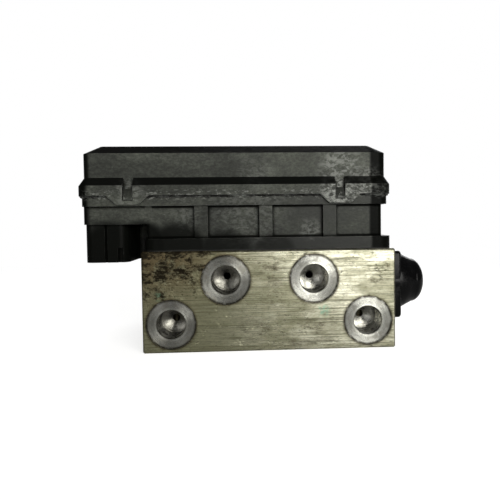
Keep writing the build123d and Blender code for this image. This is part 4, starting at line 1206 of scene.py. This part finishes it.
def run(edge: bmesh.types.BMEdge, axis: str) -> float:
    """Measures how far an edge runs along x, y or z, in millimetres."""
    start, end = (getattr(vert.co, axis) for vert in edge.verts)
    return abs(start - end)


def turned(profile: Profile, steps: int = 96) -> bmesh.types.BMesh:
    """Turns a closed profile about the Z axis.

    Args:
        profile: The radius and height of each corner, in order round the section.
        steps: How many parts the turn has.

    Returns:
        The closed shape, in millimetres.
    """
    shape = bmesh.new()
    corners = [shape.verts.new((radius, 0.0, height)) for radius, height in profile]
    rim = [shape.edges.new(pair) for pair in zip(corners, corners[1:] + corners[:1])]
    bmesh.ops.spin(
        shape,
        geom=corners + rim,
        cent=(0.0, 0.0, 0.0),
        axis=(0.0, 0.0, 1.0),
        angle=math.tau,
        steps=steps,
        use_merge=True,
    )
    return shape


def placement(centre: Point, axis: Axis) -> Matrix:
    """Gives the transform that stands a turned shape on a face.

    Args:
        centre: Where the shape's own origin goes.
        axis: Where its own Z axis goes.

    Returns:
        The transform, in millimetres.
    """
    turn = Vector((0.0, 0.0, 1.0)).rotation_difference(Vector(axis.value)).to_matrix().to_4x4()
    return Matrix.Translation(centre) @ turn


def complete(
    shape: bmesh.types.BMesh,
    name: str,
    material: bpy.types.Material,
    place: Matrix | None = None,
) -> bpy.types.Object:
    """Turns a shape into a finished piece of the module, at the origin and in metres.

    Args:
        shape: The shape in millimetres, which is used up.
        name: The piece's name.
        material: What it is made of.
        place: Where it goes.

    Returns:
        The piece.
    """
    bmesh.ops.transform(shape, matrix=Matrix.Scale(MM, 4) @ (place or Matrix()), verts=shape.verts)
    bmesh.ops.remove_doubles(shape, verts=shape.verts, dist=MM * WELD)
    bmesh.ops.dissolve_degenerate(shape, edges=shape.edges, dist=MM * WELD)
    bmesh.ops.recalc_face_normals(shape, faces=shape.faces)
    for face in shape.faces:
        face.smooth = True
    for edge in shape.edges:
        edge.smooth = edge.calc_face_angle(0.0) < SHARP_ANGLE
    mesh = bpy.data.meshes.new(name)
    shape.to_mesh(mesh)
    shape.free()
    mesh.materials.append(material)
    piece = bpy.data.objects.new(name, mesh)
    bpy.context.scene.collection.objects.link(piece)
    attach(piece, FIXED_BODY)
    log.info("made %s with %d faces", name, len(mesh.polygons))
    return piece


def dress(nodes: Nodes, names: Sequence[str], finish: Finish, title: str) -> bpy.types.Material:
    """Gives CAD nodes a finish.

    Args:
        nodes: The CAD nodes by name.
        names: Which of them it is for.
        finish: The finish.
        title: The name of its material.

    Returns:
        The material.
    """
    material = finish.build(title)
    for name in names:
        for place in nodes[name].material_slots:
            place.material = material
    log.info("dressed %s in %s", ", ".join(names), title)
    return material


def middle_of(box: Sequence[Sequence[float]]) -> Point:
    """Gives the middle of a box that is in metres, in millimetres."""
    low, high = box
    return tuple((a + b) / 2 / MM for a, b in zip(low, high))


# ---------------------------------------------------------------------------------------------
# Valve block
# ---------------------------------------------------------------------------------------------


@dataclass
class TubePort:
    """A screwed tube port: its spot face, thread and conical seat, as one turned skin.

    Attributes:
        name: The piece's name.
        mouth: The middle of its mouth, on the face of the block.
        axis: Where the port looks.
        bore: The radius of the drilled hole.
        depth: The depth of its thread and run-out.
        face_radius: The radius of its spot face.
        face_depth: How deep the spot face is cut.
        skin: How far the skin stands off the metal behind it.
        crest: How far the thread's crests stand inwards.
        crest_ends: Where along its pitch a crest begins and ends, from 0 to 1.
        pitch: The thread's pitch.
        lead_in: The plain length before the thread.
        run_out: The plain length between the thread and the floor.
        seat_radius: The outer radius of the conical seat.
        seat_length: The length of the cone, or nothing for a flat floor.
        way_radius: The radius of the passage in the seat's tip.
        way_length: How far into that passage the skin goes.
        painted_shade: How much darker it is painted, as the shade on the left of the block, from 0 to 1.
        metal: The clean metal.
    """

    name: str
    mouth: Point
    axis: Axis
    bore: float = 5.5
    depth: float = 13.0
    face_radius: float = 9.1
    face_depth: float = 0.4
    skin: float = 0.04
    crest: float = 0.30
    crest_ends: tuple[float, float] = (0.42, 0.58)
    pitch: float = 1.0
    lead_in: float = 0.3
    run_out: float = 2.6
    seat_radius: float = 4.4
    seat_length: float = 1.4
    way_radius: float = 1.5
    way_length: float = 0.8
    painted_shade: float = 0.0
    metal: Colour = (0.46, 0.46, 0.42)

    def thread(self) -> Profile:
        """Lists the section of the thread, from the mouth inwards.

        Returns:
            Radius and height over the block's face.
        """
        root = self.bore - self.skin
        length = self.depth - self.face_depth - self.run_out
        section: Profile = []
        for turn in range(int(length / self.pitch)):
            top = -self.face_depth - turn * self.pitch - self.lead_in
            section += [(root - self.crest, top - self.pitch * end) for end in self.crest_ends]
            section.append((root, top - self.pitch))
        return section

    def profile(self) -> Profile:
        """Lists the skin's section.

        Returns:
            Radius and height over the block's face, which is below zero inside the port.
        """
        half = self.skin / 2
        root = self.bore - self.skin
        edge = self.face_radius - self.skin
        face = -self.face_depth
        floor = -self.depth
        tip = floor - self.seat_length
        way = tip - self.way_length
        front: Profile = [(edge, face + half), (edge - half, face + self.skin)]
        front += [(root + half, face + self.skin), (root, face)]
        front += self.thread()
        front.append((root, floor + self.skin))
        back: Profile = [(self.bore - half, face + half), (self.bore - half, floor + half)]
        if self.seat_length:
            front += [(self.seat_radius, floor + self.skin), (self.way_radius - self.skin, tip + self.skin)]
            front.append((self.way_radius - self.skin, way))
            back += [(self.seat_radius, floor + half), (self.way_radius - half, tip + half)]
            back.append((self.way_radius - half, way))
        else:
            front.append((self.way_radius + self.skin, floor + self.skin))
            back.append((self.way_radius + self.skin, floor + half))
        return front + back[::-1]

    def build(self) -> bpy.types.Object:
        """Makes the port's skin.

        Returns:
            The piece.
        """
        finish = TurnedMetal(
            self.mouth,
            self.axis,
            colour=shade(self.metal, 1.0 - self.painted_shade),
            roughness=0.20,
            dirt=0.45,
            rim=self.face_radius,
            mouth=self.bore,
            streak=0.85,
        )
        return complete(
            turned(self.profile()),
            self.name,
            finish.build(self.name),
            placement(self.mouth, self.axis),
        )


@dataclass
class TappedHole:
    """The thread inside a plain screw hole.

    Attributes:
        name: The piece's name.
        mouth: The middle of its mouth.
        axis: Where the hole looks.
        bore: The radius of the drilled hole.
        depth: Its depth.
        lead_in: The plain length before the thread.
        run_out: How much of the depth is left without thread.
        crest: How far the thread's crests stand inwards.
        pitch: The thread's pitch.
        skin: How far the thread stands off the metal behind it.
    """

    name: str
    mouth: Point
    axis: Axis
    bore: float
    depth: float = 12.0
    lead_in: float = 0.5
    run_out: float = 1.0
    crest: float = 0.22
    pitch: float = 0.8
    skin: float = 0.03

    def build(self, material: bpy.types.Material) -> bpy.types.Object:
        """Makes the thread.

        Args:
            material: What it is cut in.

        Returns:
            The piece.
        """
        root = self.bore - self.skin
        back = self.bore - self.skin / 2
        section: Profile = [(root, -self.lead_in)]
        for turn in range(int((self.depth - self.run_out) / self.pitch)):
            top = -self.lead_in - turn * self.pitch
            section += [(root - self.crest, top - self.pitch * 0.5), (root, top - self.pitch)]
        section += [(back, section[-1][1]), (back, -self.lead_in)]
        place = placement(self.mouth, self.axis)
        return complete(turned(section, 48), self.name, material, place)


@dataclass
class ValveBlock:
    """The drilled aluminium block with its ports, plugs, pumps and accumulators.

    Attributes:
        nodes: The CAD nodes by name.
        front: Where along Y the front face is.
        wheel_ports: The X and Z of each wheel port, on the front face.
        inlet_ports: The X and Y of each inlet port, underneath.
        painted_shade_left: How much darker the ports on the left are painted, as shade.
        motor_screw_circle: The radius of the circle of the motor's screws.
        motor_screw_angles: Where they are on it, in degrees.
        motor_screw_radius: The radius of their holes.
        bracket_screws: The X and Y of each of the bracket's screws, underneath.
        bracket_screw_radius: The radius of their holes.
        ink_marks: The X, Z and radius of each ink mark on the front face.
        scuffs: The X, Z, half width and half height of each knocked place on the front face.
        scuff_depth: How far such a place reaches into the block's other faces.
        pump_stroke: How far a pump's piston presses its spring. It is not used.
        accumulator_stroke: How far an accumulator's piston presses its spring. It is not used.
    """

    nodes: Nodes
    front: float = -42.0
    wheel_ports: dict[str, tuple[float, float]] = field(
        default_factory=lambda: {
            "upper_left": (-16.2, 26.3),
            "upper_right": (16.2, 26.3),
            "lower_left": (-36.2, 10.4),
            "lower_right": (36.2, 10.4),
        }
    )
    inlet_ports: dict[str, tuple[float, float]] = field(
        default_factory=lambda: {"left": (-37.0, -14.0), "right": (37.0, -14.0)}
    )
    painted_shade_left: float = 0.5
    motor_screw_circle: float = 26.0
    motor_screw_angles: tuple[float, ...] = (90.0, 210.0, 330.0)
    motor_screw_radius: float = 2.1
    bracket_screws: tuple[tuple[float, float], ...] = ((-41.0, 27.0), (41.0, 27.0))
    bracket_screw_radius: float = 2.5
    ink_marks: tuple[tuple[float, float, float], ...] = ((-40.0, 21.0, 3.0), (19.5, 14.4, 3.2))
    scuffs: tuple[tuple[float, float, float, float], ...] = (
        (0.5, 29.5, 7.0, 8.0),
        (1.0, 20.0, 6.0, 5.0),
        (-4.0, 7.5, 12.0, 5.5),
        (17.0, 8.5, 9.0, 6.5),
        (13.0, 3.0, 14.0, 3.0),
        (38.5, 25.2, 6.0, 2.6),
        (43.5, 30.0, 2.2, 7.0),
        (29.5, 32.0, 2.4, 2.2),
        (-39.0, 22.4, 4.5, 2.2),
        (11.0, 16.5, 4.0, 2.5),
    )
    scuff_depth: float = 9.0
    pump_stroke: float = 2.0
    accumulator_stroke: float = 6.0

    def metal(self) -> MilledAluminium:
        """Gives the block's finish, with its marks in their places on the front face.

        Returns:
            The finish.
        """
        return MilledAluminium(
            spot_centres=tuple((x, self.front, z) for x, z in self.wheel_ports.values()),
            ink_marks=tuple(((x, self.front, z), radius) for x, z, radius in self.ink_marks),
            scuffs=tuple(
                ((x, self.front, z), (half_width, self.scuff_depth, half_height))
                for x, z, half_width, half_height in self.scuffs
            ),
        )

    def build_ports(self) -> None:
        """Makes the skins of the six tube ports."""
        for name, (x, z) in self.wheel_ports.items():
            # The ports on the left are painted darker, as shade.
            painted_shade = self.painted_shade_left if x < 0.0 else 0.0
            TubePort(f"wheel_port_{name}_skin", (x, self.front, z), Axis.FORWARD, painted_shade=painted_shade).build()
        for name, (x, y) in self.inlet_ports.items():
            TubePort(
                f"inlet_port_{name}_skin",
                (x, y, 0.0),
                Axis.DOWN,
                depth=12.0,
                seat_length=0.0,
            ).build()

    def build_threads(self) -> None:
        """Makes the threads of the motor's and the bracket's screw holes."""
        cut = PlatedSteel(colour=(0.50, 0.49, 0.45), roughness=0.3).build("cut_thread")
        circle = self.motor_screw_circle
        turns = [math.radians(angle) for angle in self.motor_screw_angles]
        rows = (
            ("motor", self.motor_screw_radius, [(circle * math.cos(a), circle * math.sin(a)) for a in turns]),
            ("bracket", self.bracket_screw_radius, self.bracket_screws),
        )
        for kind, radius, places in rows:
            for number, (x, y) in enumerate(places, 1):
                hole = TappedHole(f"{kind}_screw_thread_{number}", (x, y, 0.0), Axis.DOWN, radius)
                hole.build(cut)

    def shorten_springs(self, side: str) -> None:
        """Gives each spring of one side a mesh of its own, at its full length.

        Args:
            side: left or right.
        """
        outward = Axis.RIGHT if side == "right" else Axis.LEFT
        springs = (
            ("pump", outward, self.pump_stroke),
            ("accumulator", Axis.BACKWARD, self.accumulator_stroke),
        )
        for kind, axis, stroke in springs:
            name = f"{kind}_spring_{side}"
            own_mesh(self.nodes[name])

    def dress_side(self, side: str) -> None:
        """Dresses the pump and the accumulator of one side.

        Args:
            side: left or right.
        """
        middle = middle_of(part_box(f"pump_plug_{side}"))
        pump = TurnedMetal(middle, Axis.RIGHT, colour=(0.50, 0.49, 0.46), ring=0.3)
        names = [f"pump_{part}_{side}" for part in ("sleeve", "piston", "plug")]
        dress(self.nodes, names, pump, f"pump_steel_{side}")
        middle = middle_of(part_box(f"accumulator_cap_{side}"))
        cap = TurnedMetal(middle, Axis.BACKWARD, colour=(0.56, 0.54, 0.47), ring=0.35, dirt=0.45)
        dress(self.nodes, [f"accumulator_cap_{side}"], cap, f"cap_steel_{side}")
        wire = PlatedSteel(colour=(0.36, 0.36, 0.37), roughness=0.28, stretch=PLAIN)
        names = [f"pump_spring_{side}", f"accumulator_spring_{side}"]
        dress(self.nodes, names, wire, f"spring_wire_{side}")
        piston = Resin((0.66, 0.60, 0.46), roughness=0.36)
        dress(self.nodes, [f"accumulator_piston_{side}"], piston, f"piston_resin_{side}")
        seal = MouldedRubber(roughness=0.34)
        dress(self.nodes, [f"accumulator_seal_{side}"], seal, f"piston_seal_{side}")

    def build(self) -> None:
        """Dresses the block and builds what is cut into it."""
        dress(self.nodes, ["valve_block"], self.metal(), "milled_aluminium")
        self.build_ports()
        self.build_threads()
        plugs = PlatedSteel(colour=(0.46, 0.45, 0.42), roughness=0.34, stretch=PLAIN)
        dress(self.nodes, ["passage_plugs"], plugs, "pressed_plug_steel")
        for side in ("left", "right"):
            self.dress_side(side)
            self.shorten_springs(side)


# ---------------------------------------------------------------------------------------------
# Control unit
# ---------------------------------------------------------------------------------------------


@dataclass
class ControlUnit:
    """The moulded housing and lid on the block, and what they hold.

    Attributes:
        nodes: The CAD nodes by name.
        seam: The height of the seam between the rim and the lid's collar.
        bead_height: The height of the sealant that is squeezed out of the seam.
        bead_width: The width of the ring that carries it.
        bead_proud: How far it stands out of the rim.
        bead_ragged: How far it wanders.
        bead_grain: How fast it wanders, per millimetre.
        bead_noise: The exponent, the gap and the number of octaves of that noise.
        bead_cuts: How many times each long edge of it is cut.
        bead_inset: How far the rim lies inside the collar.
        corner: The radius of the rim's corners.
        coil_window: How far a coil's winding stays clear of the ends of its case.
        join_x: Where along X the groove lies that the overhang leaves in the long walls.
        join_z: The heights between which it lies.
        wall_front: Where along Y the front wall is.
        wall_back: Where along Y the back wall is.
        join_depth: How deep the groove's filling goes into the wall.
        join_proud: How far the filling stands out of it.
    """

    nodes: Nodes
    seam: float = 57.4
    bead_height: float = 0.7
    bead_width: float = 1.6
    bead_proud: float = 0.5
    bead_ragged: float = 0.6
    bead_grain: float = 0.55
    bead_noise: tuple[float, float, int] = (0.7, 2.1, 4)
    bead_cuts: int = 150
    bead_inset: float = 1.3
    corner: float = 4.0
    coil_window: float = 1.2
    join_x: tuple[float, float] = (-45.3, -42.9)
    join_z: tuple[float, float] = (47.0, 53.55)
    wall_front: float = -38.2
    wall_back: float = 30.2
    join_depth: float = 1.8
    join_proud: float = 0.02

    def overhang_joins(self, plastic: bpy.types.Material) -> None:
        """Fills the grooves where the overhang meets the long walls, flush with both.

        Args:
            plastic: What the housing is made of.
        """
        size = (self.join_x[1] - self.join_x[0], self.join_depth, self.join_z[1] - self.join_z[0])
        depth = self.join_depth / 2 - self.join_proud
        for name, wall, inward in (("front", self.wall_front, 1.0), ("back", self.wall_back, -1.0)):
            centre = (sum(self.join_x) / 2, wall + inward * depth, sum(self.join_z) / 2)
            place = Matrix.Translation(centre)
            complete(box_shape(size), f"overhang_join_{name}", plastic, place)

    def roughen_bead(self, shape: bmesh.types.BMesh, low: Vector, high: Vector) -> None:
        """Pushes the walls of the bead in and out, and its lower edge up and down.

        Args:
            shape: The bead.
            low: The lowest corner of its box.
            high: The highest corner of its box.
        """
        middle = (low + high) / 2
        straight = [(far - near) / 2 - self.corner for near, far in zip(low, high)]
        for vert in shape.verts:
            wander = noise.fractal(vert.co * self.bead_grain, *self.bead_noise)
            outward = Vector((vert.co.x - middle.x, vert.co.y - middle.y, 0.0))
            for axis in (0, 1):
                at_wall = abs(outward[axis]) > straight[axis]
                outward[axis] = math.copysign(1.0, outward[axis]) if at_wall else 0.0
            vert.co += outward * wander * self.bead_ragged
            if vert.co.z < self.seam - self.bead_height / 2:
                vert.co.z += wander * self.bead_ragged

    def seam_bead(self) -> bpy.types.Object:
        """Makes the ragged bead of sealant along the seam.

        Returns:
            The piece.
        """
        low, high = (Vector(end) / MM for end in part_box("ecu_lid"))
        reach = Vector((self.bead_inset - self.bead_proud,) * 2).to_3d()
        low = Vector((low.x, low.y, self.seam - self.bead_height)) + reach
        high = Vector((high.x, high.y, self.seam)) - reach
        shape = box_shape(high - low, (high + low) / 2)
        upright = [edge for edge in shape.edges if run(edge, "z") > LEVEL]
        round_edges(shape, upright, self.corner, 8)
        flat = [face for face in shape.faces if abs(face.normal.z) > 0.9]
        bmesh.ops.inset_individual(shape, faces=flat, thickness=self.bead_width, depth=0.0)
        bmesh.ops.delete(shape, geom=flat, context="FACES_ONLY")
        bmesh.ops.bridge_loops(shape, edges=[edge for edge in shape.edges if edge.is_boundary])
        level = [edge for edge in shape.edges if run(edge, "z") < LEVEL]
        long_edges = [edge for edge in level if edge.calc_length() > self.corner]
        bmesh.ops.subdivide_edges(shape, edges=long_edges, cuts=self.bead_cuts, use_grid_fill=True)
        self.roughen_bead(shape, low, high)
        sealant = MouldedRubber(
            colour=(0.010, 0.010, 0.009), bloom=(0.16, 0.17, 0.155), roughness=0.5, haze=0.8
        )
        return complete(shape, "seam_bead", sealant.build("seam_sealant"))

    def dress_mouldings(self) -> None:
        """Dresses the housing and the lid, and fills the overhang's grooves."""
        lid = MouldedPlastic(
            dusty=0.85,
            frayed=self.seam + 0.4,
            worn=(
                Worn((27.0, -39.4, 67.5), 12.0, 0.55),
                Worn((26.3, -41.0, 57.5), 11.0, 0.85),
                Worn((38.0, -41.0, 60.0), 10.0, 0.75),
                Worn((-4.0, -39.4, 65.5), 9.0, 0.16),
                Worn((-50.9, -41.0, 58.5), 8.0, 0.30),
            ),
        )
        housing = MouldedPlastic(
            frayed=self.seam - 0.4,
            low=41.6,
            shadow_lines=(53.25, 41.95),
            worn=(
                Worn((15.5, -38.2, 44.0), 6.0, 0.30),
                Worn((-8.0, -40.1, 55.5), 22.0, 0.14),
                Worn((-30.0, -38.2, 50.0), 8.0, 0.14),
            ),
            shaded_places=(
                Worn((-58.0, -30.0, 37.0), 16.0, 1.0),
                Worn((-47.0, -40.0, 38.0), 12.0, 0.95),
                Worn((-34.0, -42.0, 37.0), 13.0, 0.85),
                Worn((-16.0, -42.0, 36.0), 11.0, 0.75),
                Worn((2.0, -42.0, 35.5), 9.0, 0.5),
            ),
        )
        dress(self.nodes, ["ecu_lid"], lid, "lid_plastic_dusty")
        plastic = dress(self.nodes, ["ecu_housing"], housing, "housing_plastic_dusty")
        self.overhang_joins(plastic)
        dress(self.nodes, ["lid_seal"], MouldedRubber(roughness=0.4), "lid_seal_rubber")
        gasket = MouldedRubber(colour=(0.012, 0.012, 0.011), roughness=0.5, haze=0.5)
        dress(self.nodes, ["housing_gasket"], gasket, "gasket_rubber")

    def dress_valves(self) -> None:
        """Dresses the two rows of valves, their armatures and their coils."""
        turned_steel = PlatedSteel(roughness=0.26)
        ground_steel = PlatedSteel(colour=(0.44, 0.44, 0.45), roughness=0.2)
        for row in ("inlet", "outlet"):
            low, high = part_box(f"{row}_coil_1")
            coil = WoundCoil(low[2] / MM + self.coil_window, high[2] / MM - self.coil_window)
            for part, finish, title in (
                ("valve", turned_steel, "valve_steel"),
                ("armature", ground_steel, "armature_steel"),
                ("coil", coil, "coil_winding"),
            ):
                names = [f"{row}_{part}_{number}" for number in range(1, 5)]
                dress(self.nodes, names, finish, f"{row}_{title}")

    def dress_inside(self) -> None:
        """Dresses the yoke, the electronics, the contacts and the screws."""
        contact = PlatedSteel(colour=(0.70, 0.55, 0.28), tarnish=(0.25, 0.14, 0.06), roughness=0.24)
        finishes: tuple[tuple[str, tuple[str, ...], Finish], ...] = (
            ("yoke_steel", ("yoke_plate",), PlatedSteel(colour=(0.48, 0.47, 0.42), stretch=(0.05, 1.0, 1.0))),
            ("circuit_board_lacquer", ("circuit_board",), PrintedBoard()),
            ("relay_resin", ("motor_relay", "valve_relay"), Resin((0.012, 0.012, 0.013), roughness=0.28)),
            ("chip_resin", ("controller_chip",), Resin((0.016, 0.016, 0.017), roughness=0.42, grain=0.18)),
            ("capacitor_can", ("capacitor",), PlatedSteel(colour=(0.66, 0.66, 0.66), roughness=0.24)),
            ("contact_brass", ("connector_pins", "motor_terminals"), contact),
            ("screw_steel", ("ecu_screws",), PlatedSteel(colour=(0.42, 0.41, 0.37), roughness=0.36)),
        )
        for title, names, finish in finishes:
            dress(self.nodes, names, finish, title)

    def build(self) -> None:
        """Dresses the control unit and builds its bead."""
        self.dress_mouldings()
        self.seam_bead()
        self.dress_valves()
        self.dress_inside()


# ---------------------------------------------------------------------------------------------
# Isolator
# ---------------------------------------------------------------------------------------------


@dataclass
class Isolator:
    """The rubber mounting isolator on the right-hand end, with its steel stud.

    Attributes:
        nodes: The CAD nodes by name.
        foot: Where its axis meets the end of the block.
        plate_centre: The middle of the plate's back.
        plate_size: The size of the plate along each axis.
        plate_gap: How far the plate stays off the block.
        plate_edge: The radius of the rim of its face.
        plate_corner: The radius of its corners.
        neck_foot: How far off the block the dome begins, inside the plate.
        neck: The radius and height of each corner between the plate and the dome.
        reach: How far the dome reaches off the block.
        dome_steps: How many parts the dome's section has.
    """

    nodes: Nodes
    foot: Point = (46.5, -22.0, 23.0)
    plate_centre: Point = (46.5, -22.0, 22.4)
    plate_size: Point = (5.0, 23.0, 26.2)
    plate_gap: float = 0.05
    plate_edge: float = 1.0
    plate_corner: float = 1.6
    neck_foot: float = 0.3
    neck: tuple[tuple[float, float], ...] = ((11.6, 4.0), (11.2, 7.2), (10.1, 9.4), (8.9, 11.8))
    reach: float = 16.8
    dome_steps: int = 20

    def plate(self, rubber: bpy.types.Material) -> bpy.types.Object:
        """Makes the plate that lies on the end of the block.

        Args:
            rubber: What it is made of.

        Returns:
            The piece.
        """
        half = self.plate_size[0] / 2
        shape = box_shape(self.plate_size, (half + self.plate_gap, 0.0, 0.0))
        outward = [edge for edge in shape.edges if run(edge, "x") > half]
        round_edges(shape, outward, self.plate_corner, 6)
        rim = [edge for edge in shape.edges if min(vert.co.x for vert in edge.verts) > half]
        round_edges(shape, rim, self.plate_edge, 4)
        place = Matrix.Translation(self.plate_centre)
        return complete(shape, "isolator_plate", rubber, place)

    def dome_profile(self) -> Profile:
        """Lists the dome's section, from inside the plate outwards.

        Returns:
            Radius and height over the end of the block.
        """
        tip_radius, tip_height = self.neck[-1]
        rise = self.reach - tip_height
        turns = [math.radians(90.0 * step / self.dome_steps) for step in range(1, self.dome_steps)]
        section: Profile = [(0.0, self.neck_foot), (self.neck[0][0], self.neck_foot), *self.neck]
        section += [(tip_radius * math.cos(a), tip_height + rise * math.sin(a)) for a in turns]
        section.append((0.0, self.reach))
        return section

    def build(self) -> None:
        """Builds the rubber and dresses the stud."""
        rubber = MouldedRubber().build("isolator_rubber_gloss")
        place = placement(self.foot, Axis.RIGHT)
        dome = complete(turned(self.dome_profile(), 128), "isolator_dome", rubber, place)
        for piece in (dome, self.plate(rubber)):
            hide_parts("isolator_rubber")
        stud = TurnedMetal(self.foot, Axis.RIGHT, colour=(0.5, 0.5, 0.48))
        dress(self.nodes, ["isolator_stud"], stud, "stud_steel")


# ---------------------------------------------------------------------------------------------
# Studio
# ---------------------------------------------------------------------------------------------


@dataclass(frozen=True)
class Softbox:
    """A square soft lamp.

    Attributes:
        name: Its name.
        place: Where it hangs, in metres.
        aim: The point of the module that it is aimed at, in metres.
        size: Its side, in metres.
        power: Its power, in watts.
        tint: The colour of its light.
    """

    name: str
    place: Point
    aim: Point
    size: float
    power: float
    tint: Colour = (1.0, 1.0, 1.0)

    def build(self) -> None:
        """Hangs the lamp."""
        lamp = bpy.data.lights.new(self.name, "AREA")
        lamp.shape = "SQUARE"
        lamp.size = self.size
        lamp.energy = self.power
        lamp.color = self.tint
        stand = bpy.data.objects.new(self.name, lamp)
        stand.location = self.place
        way = Vector(self.aim) - Vector(self.place)
        stand.rotation_euler = way.to_track_quat("-Z", "Y").to_euler()
        bpy.context.scene.collection.objects.link(stand)


@dataclass(frozen=True)
class Camera:
    """The camera, whose image is square.

    Attributes:
        place: Where it stands, in millimetres.
        yaw: How far it looks to the right, in degrees.
        pitch: How far it looks up.
        roll: How far it leans.
        focal: Its focal length in pixels.
        axis: The pixel at which its optical axis meets the image.
        image: The side of the image in pixels.
        sensor: The width of the sensor in millimetres.
        near: The distance within which it sees nothing, in metres.
    """

    place: Point = (-8.84, -224.15, 46.97)
    yaw: float = 3.37
    pitch: float = -2.27
    roll: float = -0.71
    focal: float = 500.5
    axis: tuple[float, float] = (274.9, 242.5)
    image: float = 500.0
    sensor: float = 36.0
    near: float = 0.005

    def build(self) -> None:
        """Sets the camera up."""
        lens = bpy.data.cameras.new("view")
        lens.sensor_width = self.sensor
        lens.lens = self.focal / self.image * self.sensor
        lens.clip_start = self.near
        lens.shift_x = 0.5 - self.axis[0] / self.image
        lens.shift_y = self.axis[1] / self.image - 0.5
        stand = bpy.data.objects.new("view", lens)
        place = Matrix.Translation(Vector(self.place) * MM)
        level = Matrix.Rotation(math.radians(90.0), 4, "X")
        turn = Matrix.Rotation(math.radians(-self.yaw), 4, "Z")
        tilt = Matrix.Rotation(math.radians(self.pitch), 4, "X")
        lean = Matrix.Rotation(math.radians(-self.roll), 4, "Z")
        stand.matrix_world = place @ turn @ tilt @ level @ lean.inverted()
        bpy.context.scene.collection.objects.link(stand)
        bpy.context.scene.camera = stand


@dataclass
class Studio:
    """A plain pale floor that runs out into a white background, and soft lamps.

    Attributes:
        floor_half: Half the side of the floor, in metres.
        fade: The distances at which the floor starts to run out into white, and is white.
        floor_colour: The colour of the floor.
        floor_mottle: The colour of its faint mottling.
        floor_lift: How much white a camera ray adds to the floor, over its shadow.
        ceiling: The light from straight above.
        walls: The light from the sides.
        ceiling_from: How far up a wall ends and the ceiling begins, from 0 to 1.
        backdrop: How far towards the back a white backdrop begins, and is full.
        lamps: The lamps.
    """

    floor_half: float = 4.0
    fade: tuple[float, float] = (120.0, 420.0)
    floor_colour: Colour = (0.80, 0.80, 0.79)
    floor_mottle: Colour = (0.76, 0.76, 0.75)
    floor_lift: float = 0.74
    ceiling: float = 0.10
    walls: float = 0.10
    ceiling_from: tuple[float, float] = (0.05, 0.60)
    backdrop: tuple[float, float] = (0.80, 0.97)
    lamps: tuple[Softbox, ...] = (
        Softbox("key", (0.42, -1.00, 0.28), (0.0, 0.0, 0.04), 0.70, 11.0, (1.0, 0.99, 0.95)),
        Softbox("fill", (-0.55, -0.95, 0.25), (0.0, 0.0, 0.04), 0.6, 2.0),
        Softbox("back", (0.35, 1.00, 0.45), (0.0, 0.0, 0.04), 0.9, 6.0),
    )

    def paper(self) -> bpy.types.Material:
        """Makes the floor's material, which a camera ray sees run out into white.

        Returns:
            The material.
        """
        graph = ShaderGraph("pale_floor")
        rays = graph.nodes.new("ShaderNodeLightPath").outputs["Is Camera Ray"]
        far = graph.step(graph.from_point((0.0, 0.0, 0.0)), *self.fade)
        mottle = graph.step(graph.noise(40.0, 3.0), 0.3, 0.7, 0.0, 0.1)
        white = graph.nodes.new("ShaderNodeEmission")
        choose = graph.nodes.new("ShaderNodeMixShader")
        graph.feed(choose.inputs[0], graph.times(rays, far))
        graph.feed(choose.inputs[1], graph.shader.outputs["BSDF"])
        graph.feed(choose.inputs[2], white.outputs["Emission"])
        graph.feed(graph.nodes["Material Output"].inputs["Surface"], choose.outputs["Shader"])
        return graph.surface(
            base_color=graph.mix(mottle, self.floor_colour, self.floor_mottle),
            roughness=0.9,
            emission_color=(1.0, 1.0, 1.0),
            emission_strength=graph.times(rays, self.floor_lift),
        )

    def floor(self) -> None:
        """Lays the floor."""
        shape = bmesh.new()
        bmesh.ops.create_grid(shape, x_segments=1, y_segments=1, size=self.floor_half)
        mesh = bpy.data.meshes.new("floor")
        shape.to_mesh(mesh)
        shape.free()
        mesh.materials.append(self.paper())
        sheet = bpy.data.objects.new("floor", mesh)
        bpy.context.scene.collection.objects.link(sheet)

    def surround(self) -> None:
        """Sets the world: white in the picture and behind the module, dim for its light."""
        world = bpy.data.worlds.new("surround")
        world.use_nodes = True
        bpy.context.scene.world = world
        graph = NodeGraph(world.node_tree)
        way = graph.nodes.new("ShaderNodeTexCoord").outputs["Generated"]
        dim = graph.step(graph.part(way, "Z"), *self.ceiling_from, self.walls, self.ceiling)
        behind = graph.step(graph.part(way, "Y"), *self.backdrop)
        rays = graph.nodes.new("ShaderNodeLightPath").outputs
        mirrored = graph.most(rays["Is Glossy Ray"], rays["Is Transmission Ray"])
        shown = graph.most(rays["Is Camera Ray"], graph.times(mirrored, behind))
        level = graph.nodes.new("ShaderNodeMix")
        graph.feed(level.inputs["Factor"], shown)
        graph.feed(level.inputs[2], dim)
        graph.feed(level.inputs[3], 1.0)
        background = graph.nodes["Background"]
        graph.feed(background.inputs["Color"], (1.0, 1.0, 1.0))
        graph.feed(background.inputs["Strength"], level.outputs[0])

    def build(self) -> None:
        """Sets up the floor, the world, the lamps and the camera."""
        self.floor()
        self.surround()
        for lamp in self.lamps:
            lamp.build()
        Camera().build()
        bpy.context.scene.view_settings.view_transform = "Standard"


def main() -> None:
    """Builds the dressed module in its studio."""
    logging.basicConfig(level=logging.INFO, format="%(name)s: %(message)s")
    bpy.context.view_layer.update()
    nodes = frame["nodes"]
    for assembly in (ValveBlock(nodes), ControlUnit(nodes), Isolator(nodes), Studio()):
        assembly.build()
        log.info("built %s", type(assembly).__name__)


if __name__ == "__main__":
    main()
